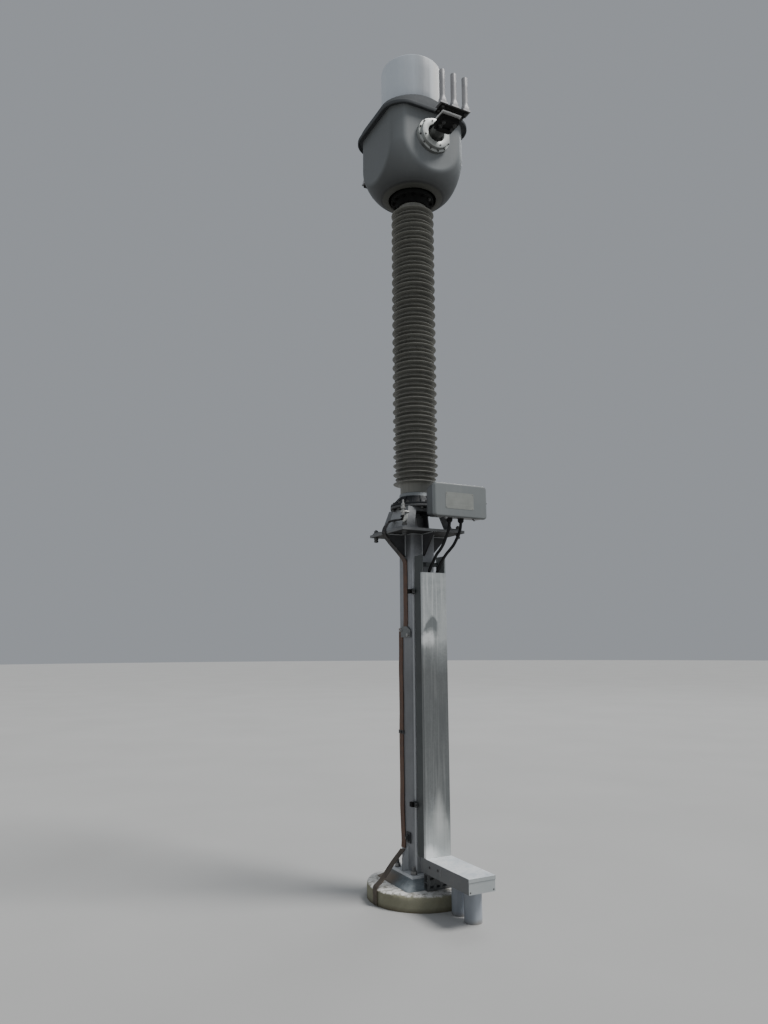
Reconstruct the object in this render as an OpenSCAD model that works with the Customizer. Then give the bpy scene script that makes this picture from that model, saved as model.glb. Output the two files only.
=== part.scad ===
/* [Footing] */
// Radius of the round concrete footing
footing_r = 375; // [345:1:420]
// Height of the footing above the ground
footing_h = 105; // [90:1:130]
// Height of the tapered grout pad
grout_h = 53; // [30:1:70]
// Width of the square base plate
base_w = 300; // [280:2:320]

/* [Post] */
// Outside width of the square post
post_w = 200; // [190:1:205]
// Wall thickness of the post
post_t = 9; // [5:1:14]
// Height of the top end of the post
post_top = 2525; // [2450:5:2600]
// Width of the square cap plate
cap_w = 520; // [500:2:540]
// Distance from the axis to each cap bolt
bolt_c = 225; // [215:1:230]

/* [Cable duct] */
// Depth of the duct's side rails
duct_d = 105; // [100:1:110]
// Sheet thickness of the duct
sheet = 3; // [2:0.5:4]
// Height of the top end of the front cover
cover_top = 2228; // [2150:1:2260]
// Outside radius of the two conduits
conduit_r = 57; // [50:1:60]

/* [Insulator] */
// Number of large sheds
shed_n = 32; // [28:1:33]
// Distance from one large shed to the next
shed_pitch = 71.4; // [68:0.1:71.4]
// Radius of the large sheds
shed_r = 171; // [155:1:173]
// Radius of the small sheds between them
shed_small_r = 155; // [135:1:156]
// Radius of the insulator's core tube
core_r = 117; // [100:1:118]

/* [Head] */
// Largest radius of the round head housing
head_r = 410; // [400:1:413]
// Distance from the axis to each flat facet of the head
facet_c = 330; // [322:1:334]
// Radius of the bellows cover on top
bellows_r = 247; // [200:1:249]
// Height of the bellows cover on top
bellows_h = 375; // [280:5:420]

/* [Hidden] */
$fn = 96;

z_grout = footing_h + grout_h;
z_base = z_grout + 20;
z_cap = post_top + 20;
z_feet = z_cap + 12;
z_frame = z_cap + 175;
z_lower = z_frame + 20;
z_sheath = z_lower + 98;
z_shed = z_lower + 180;
z_upper = z_shed + (shed_n - 1) * shed_pitch + 57;
z_neck = z_upper + 78;
z_head = z_neck + 581;
half = post_w / 2;
// Duct: left and right outer faces, and its back and front planes
duct_l = -94;
duct_r = 102;
duct_b = -half - 33;
duct_f = duct_b - duct_d;
duct_top = cover_top + 125;
foot_z0 = 209;
foot_z1 = 301;
foot_end = -754;
// Terminal box: left, right, bottom and top faces, and its front plane
box_l = -89;
box_r = 355;
box_b = z_cap + 67;
box_t = z_cap + 312;
box_f = -420;
term_z = z_neck + 366;
lug_y = -643;
// How much higher the rear clamp stands on its packing block
rear_lift = 85;
// How much closer to the head the rear palm ends
rear_back = 26;

// Route of the left and right signal cables, from the gland down the duct and out through a conduit
cable_left = [[84, -335, 2586], [82, -332, 2555], [77, -325, 2520], [67, -311, 2480], [54, -293, 2430],
              [38, -272, 2390], [22, -250, 2358], [4, -224, 2300], [-10, -203, 2250], [-16, -190, 2190],
              [-18, -185, 2100], [-18, -185, 1600], [-18, -185, 1100], [-18, -185, 600], [-18, -187, 420],
              [-16, -200, 345], [-8, -232, 290], [2, -290, 262], [10, -350, 256], [14, -395, 245],
              [14, -425, 215], [14, -437, 160], [14, -438, 90], [14, -438, 12]];
cable_right = [[180, -335, 2586], [177, -334, 2555], [169, -332, 2520], [155, -323, 2480], [136, -304, 2430],
               [116, -283, 2395], [96, -261, 2362], [74, -231, 2310], [58, -206, 2255], [50, -192, 2195],
               [47, -187, 2110], [46, -185, 1600], [46, -185, 1100], [46, -185, 600], [46, -187, 420],
               [46, -202, 345], [46, -236, 290], [46, -300, 268], [46, -420, 268], [45, -520, 268],
               [44, -565, 255], [44, -595, 215], [44, -605, 160], [44, -606, 90], [44, -606, 12]];
// Route of the black earth lead on the side of the base
lead_path = [[-212, -182, 2641], [-213, -179, 2627], [-215, -162, 2615], [-216, -130, 2614], [-217, -90, 2618],
             [-219, -45, 2621], [-222, -8, 2620], [-227, 14, 2616]];

// Vector helpers
function unit(v) = v / norm(v);
function tangent(p, i) = unit(p[min(i + 1, len(p) - 1)] - p[max(i - 1, 0)]);
// Points of a smooth curve through a route, s steps in each span
function spline(p, s) = [for (i = [0 : len(p) - 2]) for (k = [0 : s - 1]) let (
        a = p[max(i - 1, 0)], b = p[i], c = p[i + 1], d = p[min(i + 2, len(p) - 1)], t = k / s)
        (2 * b + (c - a) * t + (2 * a - 5 * b + 4 * c - d) * t * t + (3 * b - a - 3 * c + d) * t * t * t) / 2,
    p[len(p) - 1]];

// Round cable swept along a route; w is a direction that the route never follows
module cable(p, r, n = 10, w = [1, 0, 0]) {
    m = len(p);
    pts = [for (i = [0 : m - 1]) let (t = tangent(p, i), a = unit(w - t * (w * t)), b = cross(t, a))
           for (k = [0 : n - 1]) p[i] + r * (cos(360 * k / n) * a + sin(360 * k / n) * b)];
    side = [for (i = [0 : m - 2]) for (k = [0 : n - 1]) let (j = (k + 1) % n)
            each [[i * n + k, (i + 1) * n + k, (i + 1) * n + j], [i * n + k, (i + 1) * n + j, i * n + j]]];
    polyhedron(pts, concat([[for (k = [0 : n - 1]) k]], side,
               [[for (k = [n - 1 : -1 : 0]) (m - 1) * n + k]]), convexity = 8);
}

// Flat strap swept along a route, w wide along the y axis and t thick
module strap(p, w, t) {
    m = len(p);
    pts = [for (i = [0 : m - 1]) let (d = tangent(p, i), y = unit([0, 1, 0] - d * d[1]), q = cross(d, y))
           each [p[i] - y * w / 2 - q * t / 2, p[i] + y * w / 2 - q * t / 2,
                 p[i] + y * w / 2 + q * t / 2, p[i] - y * w / 2 + q * t / 2]];
    side = [for (i = [0 : m - 2]) for (k = [0 : 3]) let (j = (k + 1) % 4)
            each [[i * 4 + k, (i + 1) * 4 + k, (i + 1) * 4 + j], [i * 4 + k, (i + 1) * 4 + j, i * 4 + j]]];
    polyhedron(pts, concat([[0, 1, 2, 3]], side, [[for (k = [3 : -1 : 0]) (m - 1) * 4 + k]]), convexity = 6);
}

// Square outline of half width a with corners of radius r
module round_square(a, r) {
    square([2 * a, 2 * (a - r)], center = true);
    square([2 * (a - r), 2 * a], center = true);
    for (sx = [-1, 1], sy = [-1, 1]) translate([sx * (a - r), sy * (a - r)]) circle(r);
}

// Rectangle from [x0, y0] to [x1, y1] with corners of radius r
module round_rect(x0, y0, x1, y1, r) {
    translate([x0 + r, y0]) square([x1 - x0 - 2 * r, y1 - y0]);
    translate([x0, y0 + r]) square([x1 - x0, y1 - y0 - 2 * r]);
    for (x = [x0 + r, x1 - r], y = [y0 + r, y1 - r]) translate([x, y]) circle(r);
}

module on_corners(c) { for (sx = [-1, 1], sy = [-1, 1]) translate([sx * c[0], sy * c[1], 0]) children(); }
module hex(r, h) { cylinder(r = r, h = h, $fn = 6); }

// Upright plate standing on or under a plate, in the plane of one face of the post
module gusset(pts, t) { rotate([90, 0, 0]) translate([0, 0, -t / 2]) linear_extrude(t) polygon(pts); }

// Round pier with a softly broken upper edge
module footing() {
    color([0.72, 0.69, 0.60]) rotate_extrude() polygon(concat([[0, 0], [footing_r, 0]],
        [for (a = [0 : 15 : 90]) [footing_r - 22 + 22 * cos(a), footing_h - 16 + 16 * sin(a)]],
        [[0, footing_h]]));
}

module grout_pad() {
    color([0.42, 0.43, 0.43]) hull() {
        translate([-232, -232, footing_h]) cube([464, 464, 4]);
        translate([-158, -158, z_grout - 1]) cube([316, 316, 1]);
    }
}

module base_plate() {
    color([0.60, 0.62, 0.63]) difference() {
        translate([-base_w / 2, -base_w / 2, z_grout]) cube([base_w, base_w, 20]);
        translate([0, 0, z_grout - 1]) on_corners([118, 115]) cylinder(r = 14, h = 22);
    }
}

// Four holding-down studs with washers and nuts
module anchor_bolts() {
    color([0.50, 0.50, 0.49]) on_corners([118, 115]) {
        translate([0, 0, z_grout]) cylinder(r = 12, h = 70);
        translate([0, 0, z_base]) cylinder(r = 24, h = 4);
        translate([0, 0, z_base + 4]) hex(20.5, 21);
    }
}

module base_gussets() {
    color([0.60, 0.62, 0.63]) for (a = [0 : 90 : 270]) rotate(a)
        gusset([[half, z_base], [half + 45, z_base], [half + 45, z_base + 80], [half, z_base + 165]], 10);
}

module post() {
    color([0.58, 0.60, 0.62]) translate([0, 0, z_base]) linear_extrude(post_top - z_base) difference() {
        round_square(half, 22);
        round_square(half - post_t, 13);
    }
}

module cap_gussets() {
    color([0.52, 0.54, 0.55]) for (a = [0 : 90 : 270]) rotate(a)
        gusset([[half, post_top], [half + 156, post_top], [half + 156, post_top - 8], [half + 14, post_top - 162],
                [half, post_top - 162]], 12);
}

module cap_plate() {
    color([0.52, 0.54, 0.55]) difference() {
        translate([-cap_w / 2, -cap_w / 2, post_top]) cube([cap_w, cap_w, 20]);
        translate([0, 0, post_top - 1]) on_corners([bolt_c, bolt_c]) cylinder(r = 11, h = 22);
    }
}

// Four bolts through the cap plate, with nuts above and below
module cap_bolts() {
    color([0.42, 0.43, 0.44]) on_corners([bolt_c, bolt_c]) {
        translate([0, 0, post_top - 38]) cylinder(r = 10, h = 38 + 20 + 12 + 26);
        translate([0, 0, post_top - 20]) hex(17.5, 17);
        translate([0, 0, post_top - 3]) cylinder(r = 19, h = 3);
        translate([0, 0, z_feet]) cylinder(r = 19, h = 3);
        translate([0, 0, z_feet + 3]) hex(17.5, 16);
    }
}

// Two folded side rails of the cable ladder, open at the back
module duct_rails() {
    color([0.62, 0.64, 0.65]) for (s = [0, 1]) translate([0, 0, foot_z1]) linear_extrude(duct_top - foot_z1)
        translate([s ? duct_r : duct_l, 0]) mirror([s, 0]) {
            translate([0, duct_f]) square([sheet, duct_d]);
            translate([0, duct_b - sheet]) square([15, sheet]);
            translate([0, duct_f]) square([10, sheet]);
        }
}

module duct_rungs() {
    color([0.62, 0.64, 0.65]) for (z = [480 : 300 : 2280])
        translate([duct_l + sheet, duct_b - sheet - 21, z]) difference() {
            cube([duct_r - duct_l - 2 * sheet, 21, 30]);
            translate([-1, -2, 2.5]) cube([duct_r - duct_l, 20, 25]);
        }
}

module duct_cover() {
    color([0.74, 0.76, 0.77]) translate([0, 0, foot_z1 + sheet]) linear_extrude(cover_top - foot_z1 - sheet) {
        translate([duct_l - sheet, duct_f - sheet]) square([duct_r - duct_l + 2 * sheet, sheet]);
        for (x = [duct_l - sheet, duct_r]) translate([x, duct_f - sheet]) square([sheet, 20]);
    }
}

// Channel pieces that hold the ladder off the post
module duct_brackets() {
    color([0.55, 0.57, 0.58]) for (z = [630, 2100]) {
        translate([-100, duct_b, z - 20]) cube([200, 33, 41]);
        for (x = [-108, 104]) translate([x, duct_b - 22, z - 14]) cube([4, 92, 28]);
        for (s = [-1, 1]) translate([s > 0 ? 100 : -104, -half - 28, z - 14]) cube([4, 56, 28]);
    }
}

// Level ladder section at the foot, its rails, end plate and rungs
module foot_duct() {
    color([0.66, 0.68, 0.69]) {
        for (x = [duct_l, duct_r - sheet]) translate([x, foot_end, foot_z0]) cube([sheet, -170 - foot_end, foot_z1 - foot_z0]);
        translate([duct_l + sheet, foot_end, foot_z0]) cube([duct_r - duct_l - 2 * sheet, sheet, foot_z1 - foot_z0]);
        for (y = [-700, -535, -345]) translate([duct_l + sheet, y, foot_z0]) cube([duct_r - duct_l - 2 * sheet, 25, 14]);
    }
}

module foot_duct_cover() {
    color([0.78, 0.80, 0.81]) {
        translate([duct_l - sheet, foot_end - sheet, foot_z1])
            cube([duct_r - duct_l + 2 * sheet, duct_f - sheet - foot_end + sheet, sheet]);
        for (x = [duct_l - sheet, duct_r])
            translate([x, foot_end - sheet, foot_z1 - 20]) cube([sheet, duct_f - sheet - foot_end + sheet, 20]);
        translate([duct_l, foot_end - sheet, foot_z1 - 20]) cube([duct_r - duct_l, sheet, 20]);
    }
}

// Back-to-back slotted channel that carries the level section on the footing
module foot_support() {
    color([0.42, 0.40, 0.36]) translate([-100, -262, footing_h]) difference() {
        cube([205, 41, foot_z0 - footing_h]);
        translate([-1, 3, 3]) cube([207, 35, 46]);
        translate([-1, 3, 55]) cube([207, 35, 46]);
        for (x = [22 : 50 : 172]) translate([x, -1, 16]) cube([28, 43, 14]);
        for (x = [22 : 50 : 172]) translate([x, -1, 68]) cube([28, 43, 14]);
    }
}

module conduit(x, y) {
    translate([x, y, 0]) difference() {
        cylinder(r = conduit_r, h = foot_z0 + 21);
        translate([0, 0, -1]) cylinder(r = conduit_r - 4.5, h = foot_z0 + 40);
    }
}
module conduit_front() { color([0.72, 0.75, 0.79]) conduit(27, -612); }
module conduit_rear() { color([0.72, 0.75, 0.79]) conduit(37, -450); }

// Earth strap from the side of the base, over the edge of the cap plate and down the post
module earth_strap_upper() {
    color([0.42, 0.27, 0.20]) strap([[-179, 20, 2634], [-192, 20, 2630], [-212, 20, 2621], [-235, 19, 2605], [-254, 18, 2582],
        [-265, 17, 2556], [-268, 15, 2532], [-262, 13, 2509], [-205, 7, 2444], [-150, 2, 2386], [-122, -2, 2352], [-107, -5, 2328],
        [-103, -7, 2300], [-103, -9, 2100], [-103, -9, 1900], [-103, -4, 1860], [-103, 0, 1800]], 60, 5);
}

module strap_joint() {
    color([0.45, 0.30, 0.22]) {
        difference() {
            translate([-111, -86, 1768]) cube([5.5, 142, 84]);
            for (q = [[-58, 1790], [50, 1822]]) translate([-112, q[0], q[1]]) rotate([0, 90, 0]) cylinder(r = 6.5, h = 8);
        }
        for (q = [[-58, 1790], [50, 1822]]) translate([-124, q[0], q[1]]) rotate([0, 90, 0]) {
            cylinder(r = 5.8, h = 23);
            translate([0, 0, 4]) hex(11, 9);
        }
    }
}

module earth_strap_lower() {
    color([0.40, 0.24, 0.17]) strap([[-103, 67, 1840], [-103, 67, 1750], [-103, 67, 1100], [-104, 67, 700], [-106, 64, 600],
        [-106, 60, 520], [-104, 56, 440], [-103, 53, 360], [-108, 52, 312]], 60, 5);
}

module footing_strap() {
    color([0.38, 0.28, 0.20]) strap([[-111, 52, 305], [-140, 45, 282], [-200, 26, 238], [-260, 3, 190], [-310, -16, 150],
        [-345, -30, 131], [-366, -37, 121], [-377, -41, 106], [-378, -42, 60], [-378, -42, 6]], 60, 5);
}

// Four feet of the transformer's cast base, drilled for the cap bolts
module base_feet() {
    color([0.50, 0.52, 0.53]) difference() {
        translate([0, 0, z_cap]) for (sx = [-1, 1], sy = [-1, 1]) mirror([sx > 0 ? 0 : 1, 0, 0]) mirror([0, sy > 0 ? 0 : 1, 0])
            linear_extrude(12) round_rect(120, 120, 250, 250, 20);
        translate([0, 0, z_cap - 1]) on_corners([bolt_c, bolt_c]) cylinder(r = 11, h = 20);
    }
}

// One of the two sloping plates that make each flared corner leg
module leg_plate(x0, y0, x1, y1) {
    q = [[x1, y1], [x0, y1], [x0, y0], [x1, y0]];
    polyhedron(concat([for (a = q) [a[0], a[1], z_feet]], [for (a = q) [a[0] - 44, a[1] - 44, z_frame]]),
        concat([[0, 1, 2, 3]], [for (i = [0 : 3]) [i, i + 4, (i + 1) % 4 + 4, (i + 1) % 4]], [[7, 6, 5, 4]]));
}
module base_legs() {
    color([0.50, 0.52, 0.53]) for (a = [0 : 90 : 270]) rotate(a) {
        leg_plate(126, 185, 196, 196);
        leg_plate(185, 126, 196, 184.8);
    }
}

// Closed panels on the sides that face the earth strap and the back
module base_side_panels() {
    color([0.56, 0.58, 0.59]) for (a = [0, 90]) rotate(a) polyhedron(
        [[-126 + 0.4, 0, 0], [126 - 0.4, 0, 0], [126 - 0.4, 8, 0], [-126 + 0.4, 8, 0],
         [-82 + 0.4, -44, 1], [82 - 0.4, -44, 1], [82 - 0.4, -36, 1], [-82 + 0.4, -36, 1]]
            * [[1, 0, 0], [0, 1, 0], [0, 0, z_frame - z_feet]] + [for (i = [0 : 7]) [0, 186, z_feet]],
        [[0, 1, 2, 3], [0, 4, 5, 1], [1, 5, 6, 2], [2, 6, 7, 3], [3, 7, 4, 0], [7, 6, 5, 4]]);
}

module base_top_plate() {
    color([0.66, 0.68, 0.68]) translate([0, 0, z_frame]) cylinder(r = 194, h = 20);
}

// Drain valve and earth clamp on the side panel
module earth_fittings() {
    color([0.62, 0.60, 0.55]) {
        translate([-212, -182, 2641]) cylinder(r = 11, h = 91, $fn = 32);
        translate([-212, -182, 2732]) cylinder(r = 7, h = 22, $fn = 32);
        translate([-212, -182, 2668]) rotate([0, 90, 0]) cylinder(r = 8, h = 48, $fn = 32);
        translate([-212, -182, 2688]) hex(16, 16);
        translate([-206, -176, 2604]) cube([24, 30, 42]);
        for (z = [2614, 2636]) translate([-213, -153, z]) rotate([0, 90, 0]) hex(8, 7);
    }
}

module earth_lead() { color([0.06, 0.06, 0.07]) cable(spline(lead_path, 2), 7, 10, [0, 0, 1]); }

// Short bracket between the base and the terminal box
module box_neck() {
    color([0.50, 0.52, 0.53]) translate([30, -264, z_frame - 65]) difference() {
        cube([210, 92, 65]);
        translate([8, -1, 8]) cube([194, 94, 49]);
    }
}

module terminal_box_body() {
    color([0.56, 0.59, 0.60]) hull() {
        translate([0, -380, 0]) rotate([90, 0, 0]) linear_extrude(6) round_rect(box_l + 3, box_b + 4, box_r - 3, box_t - 4, 24, $fn = 32);
        translate([0, -322, 0]) rotate([90, 0, 0]) linear_extrude(4) round_rect(box_l + 3, box_b + 6, box_r - 3, box_t - 10, 30, $fn = 32);
        translate([0, -278, 0]) rotate([90, 0, 0]) linear_extrude(4) round_rect(box_l + 16, box_b + 14, box_r - 16, box_t - 32, 34, $fn = 32);
        translate([0, -264, 0]) rotate([90, 0, 0]) linear_extrude(4) round_rect(box_l + 40, box_b + 30, box_r - 40, box_t - 60, 34, $fn = 32);
    }
}

module terminal_box_lid() {
    color([0.66, 0.68, 0.68]) {
        translate([0, -386, 0]) rotate([90, 0, 0]) linear_extrude(26) round_rect(box_l, box_b, box_r, box_t, 25);
        translate([0, -412, 0]) rotate([90, 0, 0]) linear_extrude(8) round_rect(box_l + 5, box_b + 5, box_r - 5, box_t - 5, 21);
    }
}

module rating_plate() {
    color([0.72, 0.73, 0.68]) translate([0, box_f, 0]) rotate([90, 0, 0]) linear_extrude(1.5) round_rect(2, 2672, 238, 2790, 6);
}

module cable_glands() {
    color([0.05, 0.05, 0.06]) for (x = [84, 180]) translate([x, -335, 0]) {
        translate([0, 0, 2604]) cylinder(r = 20, h = 12);
        translate([0, 0, 2586]) hex(19, 18);
    }
}

module secondary_cable_left() { color([0.05, 0.05, 0.06]) cable(spline(cable_left, 2), 11, 8); }
module secondary_cable_right() { color([0.05, 0.05, 0.06]) cable(spline(cable_right, 2), 11, 8); }

module insulator_lower_flange() {
    color([0.30, 0.31, 0.32]) translate([0, 0, z_lower]) rotate_extrude()
        polygon([[0, 0], [193, 0], [193, 12], [187, 20], [161, 39], [136, 61], [121, 86], [118, 98], [0, 98]]);
}

// Core tube with alternating large and small sheds
module insulator() {
    color([0.33, 0.31, 0.28]) rotate_extrude() polygon(concat([[0, z_sheath], [core_r, z_sheath]],
        [for (i = [0 : shed_n - 1]) let (z = z_shed + i * shed_pitch) each concat(
            [[core_r, z - 4], [shed_r, z - 4], [shed_r, z], [core_r, z + 17]],
            i < shed_n - 1 ? [[core_r, z + shed_pitch / 2 - 3], [shed_small_r, z + shed_pitch / 2 - 3],
                              [shed_small_r, z + shed_pitch / 2 + 1], [core_r, z + shed_pitch / 2 + 14]] : [])],
        [[core_r, z_upper], [0, z_upper]]));
}

module insulator_upper_flange() {
    color([0.20, 0.20, 0.21]) translate([0, 0, z_upper]) rotate_extrude()
        polygon([[0, 0], [128, 0], [128, 46], [138, 55], [172, 55], [172, 85], [150, 92], [150, 118], [0, 118]]);
}

// Radius of the housing's belly, k from 0 at the neck to 1 where the wall turns upright
function housing_r(k) = 203.5 + (head_r - 203.5) * pow(1 - pow(1 - k, 1.886), 0.6266);

// Round housing with four flat facets and a recessed neck
module head_housing() {
    color([0.40, 0.42, 0.43]) difference() {
        intersection() {
            rotate_extrude($fn = 128) polygon(concat([[0, z_neck]],
                [for (i = [0 : 20]) [housing_r(pow(i / 20, 1.6)), z_neck + 314 * pow(i / 20, 1.6)]],
                [[head_r, z_head], [0, z_head]]));
            translate([-facet_c, -facet_c, z_neck - 1]) cube([2 * facet_c, 2 * facet_c, z_head - z_neck + 2]);
        }
        translate([0, 0, z_neck - 5]) cylinder(r = 191, h = 45);
    }
}

// Cover that rises from a rounded square rim to the round bellows cover
module hood() {
    color([0.55, 0.58, 0.59]) {
        difference() {
            translate([0, 0, z_head - 21]) linear_extrude(29) round_square(377, 181);
            translate([0, 0, z_head - 22]) linear_extrude(22) intersection() {
                circle(r = head_r + 0.5);
                square(2 * facet_c + 1, center = true);
            }
        }
        hull() {
            translate([0, 0, z_head + 8]) linear_extrude(4) round_square(373, 179, $fn = 40);
            translate([0, 0, z_head + 60]) linear_extrude(1) round_square(352, 199, $fn = 40);
            translate([0, 0, z_head + 115]) linear_extrude(1) round_square(318, 230, $fn = 40);
            translate([0, 0, z_head + 173]) linear_extrude(1) round_square(279, 267, $fn = 40);
            translate([0, 0, z_head + 199]) cylinder(r = bellows_r + 2, h = 1, $fn = 72);
        }
    }
}

module bellows_cover() {
    color([0.78, 0.79, 0.78]) translate([0, 0, z_head + 200]) rotate_extrude($fn = 128)
        polygon(concat([[0, 0], [bellows_r, 0]],
            [for (a = [0 : 15 : 90]) [bellows_r - 18 + 18 * cos(a), bellows_h - 16 + 16 * sin(a)]],
            [[0, bellows_h]]));
}

// Stepped ring that closes the housing round the primary conductor
module primary_flange() {
    translate([0, -facet_c, term_z]) rotate([90, 0, 0]) rotate_extrude()
        polygon([[50.5, 0], [140, 0], [140, 27], [137, 30], [122, 32], [122, 57], [119, 60], [70, 60], [70, 26], [50.5, 26]]);
}
module primary_flanges() { color([0.74, 0.76, 0.75]) for (a = [0, 180]) rotate(a) primary_flange(); }

// Round primary conductor that ends in a flat palm; the rear palm is shorter
module primary_stem(back) {
    translate([0, -facet_c, term_z]) rotate([90, 0, 0]) {
        cylinder(r = 50, h = 176);
        translate([0, 0, 176]) cylinder(r = 44, h = 6);
    }
    translate([-76, -600 + back, term_z - 42]) cube([152, 130 - back, 48]);
}
module primary_stems() {
    color([0.28, 0.28, 0.27]) {
        primary_stem(0);
        rotate(180) primary_stem(rear_back);
    }
}

// Two plates, one on the other, bolted to the palm; the rear pair stands on a packing block
module terminal_clamp(lift, back) {
    if (lift > 0) translate([-62, -572, term_z + 6]) cube([124, 57, lift]);
    translate([-82, -620, term_z + 6 + lift]) cube([164, 105, 14]);
    translate([-115, -670, term_z + 20 + lift]) cube([230, 110, 12]);
    for (x = [-48, 48], y = [-576 + back, -530 + back]) translate([x, y, term_z - 59]) {
        hex(13, 13);
        translate([0, 0, 13]) cylinder(r = 17, h = 4);
    }
}
module terminal_clamps() {
    color([0.38, 0.39, 0.39]) {
        terminal_clamp(0, 0);
        rotate(180) terminal_clamp(rear_lift, rear_back);
    }
}

// Three upright sockets for the line conductors
module lug_set(lift) {
    for (i = [-1 : 1]) translate([i * 100, lug_y, term_z + 32 + lift]) difference() {
        union() {
            translate([-33, -27, 0]) cube([66, 77, 14]);
            translate([0, 0, 14]) cylinder(r1 = 29, r2 = 22.5, h = 56);
            translate([0, 0, 70]) cylinder(r = 22.5, h = 220);
        }
        translate([0, 0, 70]) cylinder(r = 15, h = 240);
    }
}
module conductor_lugs() {
    color([0.62, 0.62, 0.60]) {
        lug_set(0);
        rotate(180) lug_set(rear_lift);
    }
}

footing();
grout_pad();
base_plate();
anchor_bolts();
base_gussets();
post();
cap_gussets();
cap_plate();
cap_bolts();
duct_rails();
duct_rungs();
duct_cover();
duct_brackets();
foot_duct();
foot_duct_cover();
foot_support();
conduit_front();
conduit_rear();
earth_strap_upper();
strap_joint();
earth_strap_lower();
footing_strap();
base_feet();
base_legs();
base_side_panels();
base_top_plate();
earth_fittings();
earth_lead();
box_neck();
terminal_box_body();
terminal_box_lid();
rating_plate();
cable_glands();
secondary_cable_left();
secondary_cable_right();
insulator_lower_flange();
insulator();
insulator_upper_flange();
head_housing();
hood();
bellows_cover();
primary_flanges();
primary_stems();
terminal_clamps();
conductor_lugs();
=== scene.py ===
import bpy
import math
import numpy as np
from mathutils import Vector, Matrix


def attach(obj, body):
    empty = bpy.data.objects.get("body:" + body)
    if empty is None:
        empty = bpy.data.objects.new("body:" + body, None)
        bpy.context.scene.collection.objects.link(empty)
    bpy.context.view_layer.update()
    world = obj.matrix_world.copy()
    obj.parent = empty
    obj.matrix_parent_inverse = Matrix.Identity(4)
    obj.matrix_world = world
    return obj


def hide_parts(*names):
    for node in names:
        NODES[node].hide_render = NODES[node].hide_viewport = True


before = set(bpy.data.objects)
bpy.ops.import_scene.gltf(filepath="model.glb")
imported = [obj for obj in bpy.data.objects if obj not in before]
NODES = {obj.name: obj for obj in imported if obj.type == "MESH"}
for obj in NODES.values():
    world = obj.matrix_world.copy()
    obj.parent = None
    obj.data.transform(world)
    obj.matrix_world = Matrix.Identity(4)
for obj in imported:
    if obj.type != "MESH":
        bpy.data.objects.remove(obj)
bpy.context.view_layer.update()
RNG = np.random.default_rng(7)

# ---------------------------------------------------------------- levels, in metres
Z_FOOT, Z_GROUT, Z_BASE = 0.105, 0.158, 0.178
Z_POST, Z_CAP, Z_FEET = 2.525, 2.545, 2.557
Z_FRAME, Z_LOWER, Z_SHEATH, Z_SHED = 2.720, 2.740, 2.838, 2.920
SHEDS, PITCH, R_SHED, R_SMALL, R_CORE = 32, 0.0714, 0.171, 0.155, 0.117
Z_UPPER = Z_SHED + (SHEDS - 1) * PITCH + 0.057
Z_NECK = Z_UPPER + 0.078
Z_HEAD = Z_NECK + 0.581
TERM = Z_NECK + 0.366
FACET = 0.330
HEAD_R = 0.410
BEL_R, BEL_H = 0.247, 0.375
REAR_LIFT, REAR_BACK = 0.085, 0.026


# ---------------------------------------------------------------- smooth value noise
def _hash(i, j, k, seed):
    h = (i * 374761393 + j * 668265263 + k * 2147483647 + seed * 1274126177) & 0xFFFFFFFF
    h = ((h ^ (h >> 13)) * 1274126177) & 0xFFFFFFFF
    return ((h ^ (h >> 16)) & 0xFFFF) / 65535.0


def vnoise(p, scale, seed=0, octaves=3):
    """Value noise in -1..1 at the points p, with features about 1/scale across."""
    p = np.asarray(p, float)
    out, amp, tot = np.zeros(len(p)), 1.0, 0.0
    for o in range(octaves):
        q = p * scale * 2 ** o + 100.0
        c = np.floor(q).astype(np.int64)
        f = q - c
        f = f * f * (3 - 2 * f)
        acc = np.zeros(len(p))
        for dx in (0, 1):
            for dy in (0, 1):
                for dz in (0, 1):
                    w = ((f[:, 0] if dx else 1 - f[:, 0]) * (f[:, 1] if dy else 1 - f[:, 1])
                         * (f[:, 2] if dz else 1 - f[:, 2]))
                    acc += w * _hash(c[:, 0] + dx, c[:, 1] + dy, c[:, 2] + dz, seed + o)
        out += amp * (2 * acc - 1)
        tot += amp
        amp *= 0.5
    return out / tot


# ---------------------------------------------------------------- geometry helpers
def to_axis(axis, at=(0, 0, 0), spin=0.0):
    """Matrix that takes +Z to axis and the origin to at."""
    q = Vector(axis).to_track_quat("Z", "Y")
    return Matrix.Translation(Vector(at)) @ q.to_matrix().to_4x4() @ Matrix.Rotation(spin, 4, "Z")


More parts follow.
